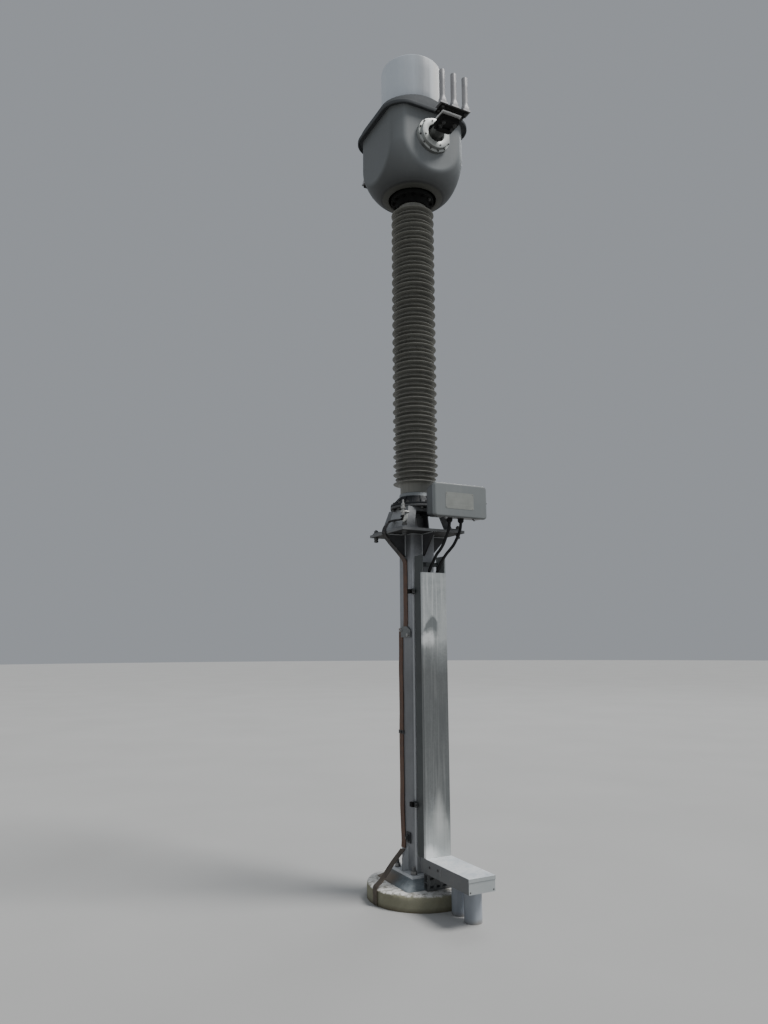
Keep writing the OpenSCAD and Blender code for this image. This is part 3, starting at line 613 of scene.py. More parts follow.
def head_mat():
    """Grey paint on the casting, with a soiled lip round the neck, and painted shade on the front and -x facets, in the
    crease outside the lip and where it looks down.
    """
    m = Mat("head_paint", spec=0.30)
    big, mid, fine = m.noise(2.4, 4, 0.55, None, 0.3), m.noise(28, 5, 0.65), m.noise(520, 2, 0.5)
    runs = m.noise(1.0, 5, 0.6, m.scaled((26, 26, 1.8)))
    col = m.mix(m.ramp(big, 0.3, 0.7), (0.240, 0.258, 0.266), (0.292, 0.310, 0.318))
    col = m.mix(m.ramp(runs, 0.50, 0.75, 0.0, 0.25), col, (0.35, 0.36, 0.355))
    # painted shade: faces that look towards -y are darkened
    col = m.shade(col, m.steps(m.up(1), [(-1.0, 0.82), (-0.93, 0.86), (-0.75, 1.0)]))
    # painted shade: faces that look towards -x are mixed towards a darker grey
    col = m.mix(m.ramp(m.up(0), -0.36, -0.82), col, (0.165, 0.176, 0.180))
    r = m.math("SQRT", m.math("ADD", m.math("MULTIPLY", m.xyz(0), m.xyz(0)), m.math("MULTIPLY", m.xyz(1), m.xyz(1))))
    low = m.ramp(m.xyz(2), Z_NECK + 0.060, Z_NECK + 0.030)
    lip = m.math("MULTIPLY", low, m.ramp(r, 0.250, 0.238))
    # painted shade in the crease outside the lip
    crease_shade = m.math("MULTIPLY", low, m.math("MULTIPLY", m.ramp(r, 0.236, 0.246), m.ramp(r, 0.268, 0.250)))
    # painted shade where the casting looks down
    down_shade = m.ramp(m.up(), -0.05, -0.80, 0.0, 0.84)
    col = m.mix(lip, col, (0.215, 0.218, 0.182))
    col = m.mix(down_shade, col, (0.006, 0.006, 0.006))
    col = m.mix(m.math("MULTIPLY", crease_shade, 0.55), col, (0.006, 0.006, 0.006))
    return m.done(col, m.ramp(mid, 0.25, 0.75, 0.50, 0.62), None, m.bump(fine, 0.00015, 0.12), 1.0)


def flange_mat():
    """Black-painted casting with a paler clamping collar at its top."""
    m = Mat("dark_flange", metal=0.2)
    big, mid, fine = m.noise(6, 5, 0.6, None, 0.4), m.noise(35, 5, 0.65), m.noise(420, 3, 0.6)
    col = m.mix(m.ramp(big, 0.3, 0.7), (0.012, 0.014, 0.017), (0.026, 0.029, 0.034))
    pale = m.math("MULTIPLY", m.ramp(m.xyz(2), 2.808, 2.816), m.ramp(m.xyz(2), 2.845, 2.840))
    col = m.mix(pale, col, (0.270, 0.290, 0.300))
    return m.done(col, m.ramp(mid, 0.3, 0.7, 0.45, 0.65), None, m.bump(m.math("ADD", fine, mid), 0.0005, 0.5))


def shed_mat():
    m = Mat("shed_rubber", spec=0.4)
    big, mid, fine = m.noise(3, 4, 0.6), m.noise(30, 5, 0.7, None, 0.5), m.noise(500, 2, 0.6)
    runs = m.noise(1.0, 5, 0.65, m.scaled((70, 70, 2.2)))
    col = m.mix(m.ramp(big, 0.3, 0.7), (0.174, 0.174, 0.156), (0.228, 0.229, 0.206))
    col = m.mix(m.ramp(runs, 0.48, 0.70, 0.0, 0.45), col, (0.320, 0.320, 0.294))
    up = m.ramp(m.up(), 0.15, 0.9, 0.0, 0.6)
    col = m.mix(m.math("MULTIPLY", up, m.ramp(mid, 0.3, 0.7, 0.4, 1.0)), col, (0.42, 0.40, 0.36))
    return m.done(col, m.ramp(mid, 0.3, 0.7, 0.42, 0.62), None, m.bump(m.math("ADD", fine, mid), 0.0003, 0.4), 0.70)


def rubber_mat():
    m = Mat("black_rubber", spec=0.2)
    mid, fine = m.noise(30, 4, 0.6), m.noise(400, 3, 0.6)
    col = m.mix(m.ramp(mid, 0.3, 0.75), (0.008, 0.008, 0.009), (0.022, 0.022, 0.023))
    return m.done(col, m.ramp(mid, 0.3, 0.7, 0.34, 0.52), None, m.bump(fine, 0.0002, 0.5))


def bolt_mat(name, dark, light, metal=0.6):
    m = Mat(name, metal=metal)
    big, mid = m.noise(25, 4, 0.6), m.noise(180, 4, 0.65)
    col = m.mix(m.ramp(big, 0.3, 0.7), dark, light)
    col = m.mix(m.ramp(mid, 0.55, 0.75, 0.0, 0.5), col, (0.10, 0.085, 0.07))
    return m.done(col, m.ramp(mid, 0.3, 0.7, 0.38, 0.6), None, m.bump(mid, 0.0003, 0.5))


def plate_mat():
    """Bare rating plate: faded satin metal with faint weather marks."""
    m = Mat("plate_metal", metal=0.35)
    brush = m.noise(1.0, 4, 0.6, m.scaled((6, 6, 420)))
    big = m.noise(14, 5, 0.6)
    col = m.mix(m.ramp(big, 0.3, 0.7), (0.275, 0.286, 0.268), (0.345, 0.358, 0.336))
    col = m.mix(m.ramp(brush, 0.4, 0.7, 0.0, 0.25), col, (0.47, 0.475, 0.45))
    return m.done(col, m.ramp(brush, 0.3, 0.7, 0.38, 0.5), None, m.bump(brush, 0.0001, 0.4))


M_CONCRETE, M_GROUT, M_PVC, M_SHED, M_RUBBER = concrete_mat(), grout_mat(), pvc_mat(), shed_mat(), rubber_mat()
M_COVER = duct_cover_mat()
M_COPPER = copper_mat("copper_strap", (0.075, 0.040, 0.027), (0.155, 0.085, 0.055), (0.25, 0.16, 0.11), True)
M_COPPER_OLD = copper_mat("copper_footing", (0.066, 0.052, 0.040), (0.135, 0.108, 0.082), (0.19, 0.155, 0.115))
M_CAST = cast_mat("cast_base", (0.155, 0.163, 0.170), (0.235, 0.243, 0.252))
M_PANEL = cast_mat("cast_panel", (0.32, 0.332, 0.342), (0.45, 0.462, 0.472), down_shade=0.3)
M_RIM = cast_mat("cast_rim", (0.098, 0.102, 0.105), (0.134, 0.138, 0.141), down_shade=0.4)
M_FLANGE = flange_mat()
M_BARE = cast_mat("bare_aluminium", (0.47, 0.49, 0.475), (0.60, 0.62, 0.60), (0.36, 0.5), 0.45, 0.35, 0.35)
M_LUG = cast_mat("lug_aluminium", (0.31, 0.31, 0.32), (0.45, 0.445, 0.45), (0.42, 0.58), 0.3, 0.3, 0.3)
M_TERM = cast_mat("terminal_dark", (0.14, 0.146, 0.14), (0.225, 0.232, 0.22), (0.36, 0.55), 0.4, 0.4, 0.5)
M_BOLT = bolt_mat("bolt_zinc", (0.22, 0.22, 0.22), (0.38, 0.38, 0.37))
M_BOLT_DARK = bolt_mat("bolt_dark", (0.07, 0.07, 0.07), (0.14, 0.14, 0.135))
M_BRASS = bolt_mat("bolt_bright", (0.38, 0.38, 0.37), (0.56, 0.56, 0.54))
# clamp plate: bright metal, painted near-white as a painted highlight so its face reads bright in shade
M_HIGHLIGHT_PLATE = painted("clamp_plate_painted_highlight", (0.90, 0.91, 0.90), (0.97, 0.97, 0.96), (0.97, 0.97, 0.96), (0.42, 0.55), 0.5)
M_BRIGHT = bolt_mat("plate_bright", (0.50, 0.51, 0.49), (0.66, 0.67, 0.64), 0.3)
M_CLAMP = painted("clamp_black", (0.006, 0.006, 0.006), (0.016, 0.016, 0.015), (0.030, 0.030, 0.028), (0.6, 0.85), 0.12)
M_DARK = cast_mat("clamp_dark", (0.030, 0.032, 0.034), (0.060, 0.062, 0.064), metal=0.2)
M_JOINT = galvanised("zinc_joint", (0.15, 0.16, 0.16), (0.24, 0.25, 0.25), 120, 0.4, (0.45, 0.65), 0.4, 0.2, (0.10, 0.10, 0.11), 0.4)
# box body: a darker copy of the lid paint, painted shade on the body under the lid
M_BOX_SHADED = painted("box_paint", (0.080, 0.087, 0.091), (0.106, 0.114, 0.118), (0.14, 0.144, 0.142))
M_LID = painted("lid_paint", (0.200, 0.216, 0.219), (0.238, 0.254, 0.256), (0.30, 0.305, 0.297))
M_HEAD = head_mat()
M_HOOD = painted("hood_paint", (0.086, 0.092, 0.098), (0.104, 0.111, 0.117), (0.13, 0.133, 0.134), (0.66, 0.78), 0.12, under=0.50)
M_WHITE = cover_mat()
# near-black paint for the lining and bolts of the neck recess: painted shade
M_NECK_SHADE = painted("neck_painted_shade", (0.003, 0.003, 0.003), (0.007, 0.007, 0.007), (0.010, 0.010, 0.010), (0.8, 0.95), 0.06)
M_UPPER = painted("upper_flange", (0.005, 0.005, 0.005), (0.016, 0.017, 0.016), (0.030, 0.031, 0.028), (0.7, 0.9), 0.10, under=0.5)
M_NAMEPLATE = plate_mat()


def dress(node, mat, bevel=None, segs=2, sharp=35):
    """Gives a CAD node its surface and softly broken edges."""
    o = NODES[node]
    o.data.materials.clear()
    o.data.materials.append(mat)
    for p in o.data.polygons:
        p.material_index = 0
    if bevel:
        add_bevel(o, bevel, segs)
    return o


# ================================================================ footing and grout
def build_footing():
    n = 420
    t = np.linspace(0, 2 * math.pi, n, endpoint=False)
    prof = [(0.375, 0.0), (0.375, 0.012), (0.375, 0.026), (0.375, 0.042), (0.375, 0.056), (0.375, 0.068), (0.3745, 0.078)]
    prof += [(0.353 + 0.0215 * math.cos(a), 0.088 + 0.017 * math.sin(a)) for a in np.linspace(0.15, math.pi / 2, 9)]
    prof += [(r, 0.105) for r in (0.345, 0.335, 0.322, 0.305, 0.285, 0.262, 0.24, 0.21, 0.16, 0.08)]
    prof = np.array(prof)
    P = np.stack([prof[:, None, 0] * np.cos(t), prof[:, None, 0] * np.sin(t), np.repeat(prof[:, 1:2], n, 1)], 2)
    flat = P.reshape(-1, 3)
    rad = np.hypot(flat[:, 0], flat[:, 1])
    dirx = flat[:, :2] / rad[:, None]
    rim = np.exp(-((rad - 0.366) / 0.018) ** 2) * np.exp(-((flat[:, 2] - 0.100) / 0.016) ** 2)
    chip = np.clip(vnoise(flat, 11, 11, 4) * 1.6 - 0.15, 0, 1) * rim
    chip2 = np.clip(vnoise(flat, 34, 5, 3) * 1.8 - 0.4, 0, 1) * rim
    dr = -0.014 * chip - 0.006 * chip2 + 0.0012 * vnoise(flat, 26, 2, 3)
    dz = -0.011 * chip - 0.005 * chip2 + np.where(flat[:, 2] > 0.1, 0.0012 * vnoise(flat, 16, 9, 4) - 0.0010, 0)
    dr[flat[:, 2] < 0.001] *= 0.2
    flat[:, :2] += dirx * dr[:, None]
    flat[:, 2] = np.maximum(0, flat[:, 2] + dz)
    g = Geo()
    g.rings(flat.reshape(P.shape))
    g.obj("footing_pier", M_CONCRETE, "concrete", ["footing"], 60)


def build_grout():
    # tapered pad with hand-trowelled sides
    n = 96
    g = Geo()
    P = []
    for z, a, rc in ((0.1045, 0.2310, 0.026), (0.109, 0.2295, 0.025), (0.116, 0.2180, 0.022), (0.124, 0.2065, 0.020), (0.132, 0.1950, 0.018), (0.141, 0.1820, 0.016), (0.150, 0.1690, 0.013),
                     (0.156, 0.1575, 0.010), (0.158, 0.155, 0.010), (0.1578, 0.12, 0.01), (0.1578, 0.05, 0.01)):
        t = np.linspace(0, 2 * math.pi, 4 * n, endpoint=False)
        r = round_square_r(a, rc, t)
        P.append(np.stack([r * np.cos(t), r * np.sin(t), 0 * t + z], 1))
    P = np.array(P)
    q = P.reshape(-1, 3)
    side = (q[:, 2] < 0.1575)
    d = 0.0030 * vnoise(q, 22, 21, 4) - 0.0016
    rad = np.hypot(q[:, 0], q[:, 1])
    q[:, :2] += (q[:, :2] / rad[:, None]) * np.where(side, d, 0)[:, None]
    g.rings(q.reshape(P.shape))
    g.obj("grout_cast", M_GROUT, "grout", ["grout_pad"], 50)


# ================================================================ post, plates, bolts
def build_post():
    dress("base_plate", M_BASEPLATE, 0.0018)
    dress("base_gussets", M_POST, 0.0012)
    dress("post", M_POST)
    dress("cap_gussets", M_SHADED_CAP_GUSSET, 0.0012)
    dress("cap_plate", M_SHADED_CAP, 0.0018)
    g = Geo()
    for a in range(4):
        R = np.array(Matrix.Rotation(math.radians(90 * a), 3, "Z"))

        def bead(pts, r=0.0045):
            g.bead([R @ np.array(p) for p in pts], r)
        for s in (-1, 1):
            y = s * 0.0055
            bead([(0.101, y + s * 0.002, 0.1805), (0.101, y + s * 0.002, 0.340)])
            bead([(0.101, y + s * 0.002, 0.1795), (0.144, y + s * 0.002, 0.1795)])
            y = s * 0.0065
            bead([(0.101, y + s * 0.002, 2.366), (0.101, y + s * 0.002, 2.5225)])
            bead([(0.101, y + s * 0.002, 2.5235), (0.252, y + s * 0.002, 2.5235)])
            bead([(0.101, s * 0.012, 0.1795), (0.101, s * 0.078, 0.1795)], 0.005)
            bead([(0.101, s * 0.012, 2.5235), (0.101, s * 0.078, 2.5235)], 0.005)
        c = [(0.078 + 0.0225 * math.cos(u), 0.078 + 0.0225 * math.sin(u)) for u in np.linspace(0, math.pi / 2, 7)]
        bead([(x, y, 0.1795) for x, y in c], 0.005)
        bead([(x, y, 2.5235) for x, y in c], 0.005)
    g.obj("weld_beads", M_PLATE, "galvanised_steel")
    # a long seam down the back of the hollow section
    g = Geo()
    g.bead([(0.02, 0.1002, 0.19), (0.02, 0.1002, 2.515)], 0.0016, 0.012)
    g.obj("tube_seam", M_POST, "galvanised_steel")


def build_anchor_bolts():
    g = Geo()
    for i, (sx, sy) in enumerate(((-1, -1), (-1, 1), (1, -1), (1, 1))):
        x, y = sx * 0.118, sy * 0.115
        M = Matrix.Translation((x, y, 0))
        up = lambda z: M @ Matrix.Translation((0, 0, z)) @ Matrix.Rotation(0.5 * i + 0.2, 4, "Z")
        g.stud(up(0.1585), 0.012, 0.0695)
        g.washer(up(0.178), 0.024, 0.004)
        g.nut(up(0.182), 0.036, 0.0205)
    g.obj("holding_down_nuts", M_BOLT, "bolt_steel", ["anchor_bolts"], 32)


def build_cap_bolts():
    g = Geo()
    for i, (sx, sy) in enumerate(((-1, -1), (-1, 1), (1, -1), (1, 1))):
        M = Matrix.Translation((sx * 0.225, sy * 0.225, 0))
        up = lambda z: M @ Matrix.Translation((0, 0, z)) @ Matrix.Rotation(0.7 * i + 0.1, 4, "Z")
        g.stud(up(2.487), 0.010, 0.096)
        g.washer(up(2.522), 0.019, 0.003)
        g.nut(up(2.5055), 0.030, 0.0165)
        g.washer(up(2.557), 0.019, 0.003)
        g.nut(up(2.560), 0.030, 0.016)
        # hexagon head end below
        g.nut(up(2.489), 0.030, 0.0135)
    g.obj("cap_plate_bolts", M_BOLT_DARK, "bolt_steel", ["cap_bolts"], 32)


# ================================================================ cable duct
DL, DR, DB, DF = -0.094, 0.102, -0.133, -0.238


def build_duct():
    dress("duct_rails", M_RAIL, 0.0008, 2)
    dress("duct_rungs", M_RAIL, 0.0008, 2)
    # front cover: a folded sheet with small corner radii and a slight buckle
    th, rc = 0.0028, 0.004
    x0, x1, y0 = DL - 0.003, DR + 0.003, DF - 0.003
    outer, inner = [], []
    outer += [(x0, y0 + 0.020)]
    outer += [(x0 + rc - rc * math.cos(a), y0 + rc - rc * math.sin(a)) for a in np.linspace(0, math.pi / 2, 5)]
    outer += [(x, y0) for x in np.linspace(x0 + rc, x1 - rc, 26)[1:-1]]
    outer += [(x1 - rc + rc * math.sin(a), y0 + rc - rc * math.cos(a)) for a in np.linspace(0, math.pi / 2, 5)]
    outer += [(x1, y0 + 0.020)]
    inner += [(x1 - th, y0 + 0.020), (x1 - th, y0 + rc)]
    inner += [(x, y0 + th) for x in np.linspace(x1 - rc, x0 + rc, 26)]
    inner += [(x0 + th, y0 + rc), (x0 + th, y0 + 0.020)]
    loop = np.array(outer + inner)
    zs = np.linspace(0.304, 2.228, 80)
    P = np.zeros((len(zs), len(loop), 3))
    P[:, :, :2] = loop[None]
    P[:, :, 2] = zs[:, None]
    mid = np.clip(1 - ((loop[:, 0] - 0.004) / 0.095) ** 2, 0, 1) * (np.abs(loop[:, 1] - y0) < 0.0035)
    q = P.reshape(-1, 3)
    b = 0.0016 * vnoise(q * [1, 1, 0.35], 7, 31, 3).reshape(len(zs), -1)
    edge = np.minimum(1, np.minimum(zs - 0.304, 2.228 - zs) / 0.08)[:, None]
    P[:, :, 1] += b * mid[None] * edge
    g = Geo()
    g.rings(P)
    g.obj("duct_front_cover", M_COVER, "galvanised_steel", ["duct_cover"], 40)


def build_brackets():
    # lipped channel pieces and their clamps
    g = Geo()
    for z in (0.630, 2.100):
        prof = [(-0.0205, 0), (0.0205, 0), (0.0205, 0.033), (0.0105, 0.033), (0.0105, 0.027), (0.0125, 0.027), (0.0125, 0.030),
                (0.018, 0.030), (0.018, 0.0025), (-0.018, 0.0025), (-0.018, 0.030), (-0.0125, 0.030), (-0.0125, 0.027), (-0.0105, 0.027),
                (-0.0105, 0.033), (-0.0205, 0.033)]
        M = Matrix(((0, 0, 1, -0.100), (0, -1, 0, -0.100), (1, 0, 0, z), (0, 0, 0, 1)))
        g.prism(prof, 0.200, M)
        for s in (-1, 1):
            # angle clips from the post's side face round to the ladder rail
            xs = s * 0.102
            g.box((min(xs, s * 0.1062), -0.130, z - 0.014), (max(xs, s * 0.1062), -0.072, z + 0.014))
        g.box((-0.108, -0.150, z - 0.014), (-0.1045, -0.070, z + 0.014))
        g.box((0.1045, -0.150, z - 0.014), (0.108, -0.070, z + 0.014))
    g.obj("duct_clips", M_BRACKET, "galvanised_steel", ["duct_brackets"], 30, 0.0008)
    g = Geo()
    for z in (0.630, 2.100):
        for s in (-1, 1):
            x = sorted((s * 0.1082, s * 0.128))
            g.box((x[0], -0.116, z - 0.016), (x[1], -0.080, z + 0.016))
            x = sorted((s * 0.1082, s * 0.118))
            g.box((x[0], -0.0798, z - 0.007), (x[1], -0.072, z + 0.007))
    g.obj("duct_clip_blocks", M_CLAMP, "galvanised_steel", (), 30, 0.0020)
    g = Geo()
    for z in (0.630, 2.100):
        for x, s in ((-0.108, -1), (0.108, 1)):
            g.bolt((x, -0.140, z), (s, 0, 0), 0.013, 0.007, spin=0.8)
    g.obj("duct_clip_bolts", M_BOLT_DARK, "bolt_steel")


def build_foot_duct():
    dress("foot_duct", M_FOOTDUCT, 0.0008, 2)
    # lid of the level section: top, side returns and a folded front end
    x0, x1, y0, y1 = DL - 0.003, DR + 0.003, -0.757, -0.241
    zt, zl, th, rc = 0.304, 0.281, 0.0028, 0.004
    def sect(y, inset=0.0, drop=0.0):
        a0, a1 = x0 + inset, x1 - inset
        top = zt - drop
        out = [(a0, zl)] + [(a0 + rc - rc * math.cos(a), top - rc + rc * math.sin(a)) for a in np.linspace(0, math.pi / 2, 5)]
        out += [(x, top) for x in np.linspace(a0 + rc, a1 - rc, 12)[1:-1]]
        out += [(a1 - rc + rc * math.sin(a), top - rc + rc * math.cos(a)) for a in np.linspace(0, math.pi / 2, 5)] + [(a1, zl)]
        out += [(a1 - th, zl), (a1 - th, top - rc)] + [(x, top - th) for x in np.linspace(a1 - rc, a0 + rc, 12)] + [(a0 + th, top - rc), (a0 + th, zl)]
        return [(x, y, z) for x, z in out]
    g = Geo()
    ys = [y0 + 0.0005, y0 + 0.0035] + list(np.linspace(y0 + 0.01, y1, 30))
    P = np.array([sect(y, 0.0, 0.0009 if i == 0 else 0.0) for i, y in enumerate(ys)])
    q = P.reshape(-1, 3)
    top = (q[:, 2] > zt - 0.0035) & (q[:, 1] > y0 + 0.006)
    q[:, 2] += np.where(top, 0.0010 * vnoise(q, 9, 17, 3) - 0.0006, 0)
    g.rings(P)
    g.obj("foot_lid", M_FOOTDUCT, "galvanised_steel", ["foot_duct_cover"], 40)
    g = Geo()
    # folded end flap
    g.box((x0 + 0.001, -0.7575, 0.279), (x1 - 0.001, -0.7545, 0.3025))
    g.obj("foot_end_flap", M_FOOTDUCT, "galvanised_steel", (), 30, 0.0012)
    g = Geo()
    for y, z in ((-0.291, 0.260), (-0.395, 0.266)):
        g.bolt((DL, y, z), (-1, 0, 0), 0.013, 0.007, spin=0.4)
        g.bolt((DR, y, z), (1, 0, 0), 0.013, 0.007, spin=0.9)
    for x in (DL + 0.012, DR - 0.012):
        g.lathe([(0.0052, 0), (0.0046, 0.0016), (0.003, 0.0026), (0.001, 0.003)], 16, to_axis((0, -1, 0), (x, -0.7538, 0.222)))
    g.obj("foot_duct_bolts", M_BOLT_DARK, "bolt_steel")
    # splice plate on the side, under the two bolts
    g = Geo()
    g.box((DL - 0.0028, -0.425, 0.238), (DL - 0.0002, -0.262, 0.282))
    g.obj("foot_splice", M_FOOTDUCT, "galvanised_steel", (), 30, 0.0008)
    dress("foot_support", M_BRACKET, 0.0006, 2)


def build_conduits():
    for name, node, x, y in (("conduit_tube_front", "conduit_front", 0.027, -0.612), ("conduit_tube_rear", "conduit_rear", 0.037, -0.450)):
        g = Geo()
        o, i = 0.057, 0.0525
        prof = [(i, 0.0), (o, 0.0), (o, 0.004), (o, 0.06), (o, 0.12), (o, 0.18), (o, 0.2275), (o - 0.0015, 0.2295), (i + 0.001, 0.2298), (i, 0.2285), (i, 0.1)]
        g.lathe(prof, 64, Matrix.Translation((x, y, 0)), wrap=True)
        g.obj(name, M_PVC, "pvc", [node], 30)


# ================================================================ earthing
def build_straps():
    up = spline([(-0.178, 0.020, 2.636), (-0.192, 0.020, 2.631), (-0.212, 0.020, 2.621), (-0.235, 0.019, 2.605), (-0.254, 0.018, 2.582),
                 (-0.265, 0.017, 2.556), (-0.2675, 0.015, 2.532), (-0.262, 0.013, 2.509), (-0.234, 0.010, 2.478), (-0.205, 0.007, 2.444), (-0.150, 0.002, 2.386),
                 (-0.122, -0.002, 2.352), (-0.107, -0.005, 2.328), (-0.1035, -0.007, 2.300), (-0.1035, -0.009, 2.200), (-0.1035, -0.009, 2.100),
                 (-0.1035, -0.009, 1.990), (-0.1035, -0.008, 1.900), (-0.1035, -0.004, 1.860), (-0.1035, 0.000, 1.830), (-0.1035, 0.001, 1.801)], 6)
    g = Geo()
    g.ribbon(up, 0.057, 0.0048)
    g.obj("strap_upper", M_COPPER, "copper", ["earth_strap_upper"], 40)
    lo = [(-0.1040, 0.066, 1.838), (-0.1035, 0.0665, 1.80), (-0.1035, 0.067, 1.74)]
    for i, z in enumerate(np.arange(1.65, 0.65, -0.10)):
        lo.append((-0.1035 - 0.0015 * abs(math.sin(1.7 * i)), 0.067 + 0.0022 * math.sin(1.3 * i), z))
    lo += [(-0.1065, 0.064, 0.600), (-0.1060, 0.060, 0.520), (-0.105, 0.056, 0.440), (-0.1035, 0.053, 0.360), (-0.107, 0.052, 0.316)]
    g = Geo()
    g.ribbon(spline(lo, 4), 0.057, 0.0048)
    g.obj("strap_lower", M_COPPER, "copper", ["earth_strap_lower"], 40)
    ft = spline([(-0.1105, 0.052, 0.306), (-0.140, 0.045, 0.282), (-0.200, 0.026, 0.238), (-0.260, 0.003, 0.190), (-0.310, -0.016, 0.150),
                 (-0.345, -0.030, 0.131), (-0.366, -0.037, 0.121), (-0.3775, -0.041, 0.106), (-0.3788, -0.042, 0.060), (-0.3788, -0.042, 0.007)], 6)
    g = Geo()
    g.ribbon(ft, 0.057, 0.0044)
    g.obj("strap_footing", M_COPPER_OLD, "copper", ["footing_strap"], 40)
    # joint plate across both straps, with its two bolts
    g = Geo()
    out = [(-0.086, 1.770), (0.056, 1.772), (0.056, 1.828), (0.030, 1.8515), (-0.030, 1.8515), (-0.086, 1.824)]
    g.prism(out, 0.0043, Matrix(((0, 0, -1, -0.1062), (1, 0, 0, 0), (0, 1, 0, 0), (0, 0, 0, 1))))
    g.obj("strap_joint_plate", M_JOINT, "copper", ["strap_joint"], 30, 0.0012)
    g = Geo()
    g.bolt((-0.1105, -0.058, 1.790), (-1, 0, 0), 0.022, 0.011, spin=0.2, dome=True)
    g.bolt((-0.1105, 0.050, 1.822), (-1, 0, 0), 0.019, 0.010, spin=0.5, dome=True)
    g.obj("strap_bolts", M_BRASS, "bolt_steel")
    g = Geo()
    # small clamp low on the post, and the saddle that holds the lower strap
    g.box((-0.1095, -0.052, 0.362), (-0.1000, 0.004, 0.432))
    g.box((-0.1200, -0.038, 0.376), (-0.1095, -0.012, 0.418))
    g.box((-0.1078, 0.030, 1.088), (-0.1062, 0.106, 1.112))
    g.obj("post_clamps", M_DARK, "galvanised_steel", (), 30, 0.0015)
    g = Geo()
    g.bolt((-0.1200, -0.025, 0.397), (-1, 0, 0), 0.019, 0.010, spin=0.3)
    g.bolt((-0.1078, 0.067, 1.100), (-1, 0, 0), 0.014, 0.007, spin=0.2, dome=True)
    g.obj("post_clamp_bolts", M_BOLT_DARK, "bolt_steel")


def build_earth_lead():
    p = [(-0.212, -0.182, 2.641), (-0.213, -0.179, 2.627), (-0.215, -0.162, 2.615), (-0.216, -0.130, 2.614), (-0.217, -0.090, 2.618),
         (-0.219, -0.045, 2.621), (-0.222, -0.008, 2.620), (-0.227, 0.014, 2.616)]
    g = Geo()
    g.tube(spline(p, 8), 0.0068, 16)
    g.obj("earth_lead_cable", M_RUBBER, "black_cable", ["earth_lead"], 40)


# ================================================================ transformer base
def build_base():
    dress("base_feet", M_CAST, 0.0025, 3)
    # flared corner legs of angle section
    g = Geo()
    for a in range(4):
        q = [(0.196, 0.196), (0.126, 0.196), (0.126, 0.185), (0.185, 0.185), (0.185, 0.126), (0.196, 0.126)]
        v = [(x, y, Z_FEET) for x, y in q] + [(x - 0.044, y - 0.044, Z_FRAME) for x, y in q]
        f = [tuple(range(5, -1, -1)), tuple(range(6, 12))] + [(i, (i + 1) % 6, (i + 1) % 6 + 6, i + 6) for i in range(6)]
        g.add(v, f, Matrix.Rotation(math.radians(90 * a), 4, "Z"))
    g.obj("base_angle_legs", M_CAST, "cast_aluminium", ["base_legs"], 35, 0.0022, 3)
    dress("base_side_panels", M_PANEL, 0.0018, 2)
    # round top plate with a pale turned rim
    g = Geo()
    g.lathe([(0.187, 2.7205), (0.192, 2.7215), (0.194, 2.7245), (0.194, 2.7355), (0.192, 2.7385), (0.187, 2.7395)], 128)
    g.obj("base_rim", M_RIM, "cast_aluminium", ["base_top_plate"], 40)
    # bolts that fix the insulator flange to the top plate
    g = Geo()
    for k in range(12):
        a = math.radians(15 + 30 * k)
        g.bolt((0.174 * math.cos(a), 0.174 * math.sin(a), 2.7205), (0, 0, -1), 0.024, 0.014, spin=a)
    g.obj("base_under_bolts", M_BOLT_DARK, "bolt_steel")
    # stiffening band round the inside of the legs, under the top plate
    g = Geo()
    t = np.linspace(0, 2 * math.pi, 160, endpoint=False)
    ro, ri = round_square_r(0.1405, 0.030, t), round_square_r(0.128, 0.022, t)
    ring = lambda r, z: np.stack([r * np.cos(t), r * np.sin(t), 0 * t + z], 1)
    g.rings(np.array([ring(ri, 2.690), ring(ro, 2.690), ring(ro, 2.7203), ring(ri, 2.7203)]), wrap=True)
    g.obj("base_band", M_CAST, "cast_aluminium", (), 40, 0.0015)


def build_fittings():
    x, y = -0.212, -0.182
    g = Geo()
    # valve: body, union nut, spindle and the side branch into the leg
    g.lathe([(0.006, 2.6395), (0.010, 2.641), (0.011, 2.645), (0.011, 2.676), (0.0085, 2.679), (0.0085, 2.688), (0.0125, 2.690), (0.0125, 2.706), (0.0105, 2.708),
             (0.0105, 2.730), (0.0070, 2.733), (0.0066, 2.752), (0.005, 2.754)], 32, Matrix.Translation((x, y, 0)))
    g.nut(Matrix.Translation((x, y, 2.688)), 0.029, 0.016)
    g.nut(Matrix.Translation((x, y, 2.716)), 0.022, 0.010)
    g.lathe([(0.0078, 0), (0.0078, 0.014), (0.0115, 0.016), (0.0115, 0.024), (0.0078, 0.026), (0.0078, 0.047)], 28, to_axis((1, 0, 0), (x, y, 2.668)))
    g.nut(to_axis((-1, 0, 0), (x - 0.009, y, 2.668)), 0.017, 0.008)
    g.obj("valve", M_BRASS, "cast_aluminium", ["earth_fittings"], 32)
    g = Geo()
    # bent bracket and the earth clamp block
    g.box((-0.206, -0.176, 2.6045), (-0.183, -0.146, 2.6455))
    g.tube(spline([(-0.199, -0.150, 2.612), (-0.203, -0.172, 2.599), (-0.203, -0.190, 2.596), (-0.201, -0.205, 2.604), (-0.199, -0.212, 2.625), (-0.198, -0.213, 2.645)], 6), 0.0085, 14)
    g.obj("earth_clamp", M_BRIGHT, "cast_aluminium", (), 30, 0.0018)
    g = Geo()
    for z in (2.6135, 2.6365):
        g.bolt((-0.206, -0.156, z), (-1, 0, 0), 0.015, 0.009, spin=0.2)
    g.obj("earth_clamp_bolts", M_RUBBER, "black_cable")
    g = Geo()
    g.bolt((-0.2155, 0.020, 2.6215), (-0.45, 0, 0.9), 0.019, 0.010, spin=0.7)
    g.obj("strap_end_bolt", M_BOLT, "bolt_steel")


# ================================================================ terminal box
BL, BR, BB, BT, BF = -0.089, 0.355, 2.612, 2.857, -0.420


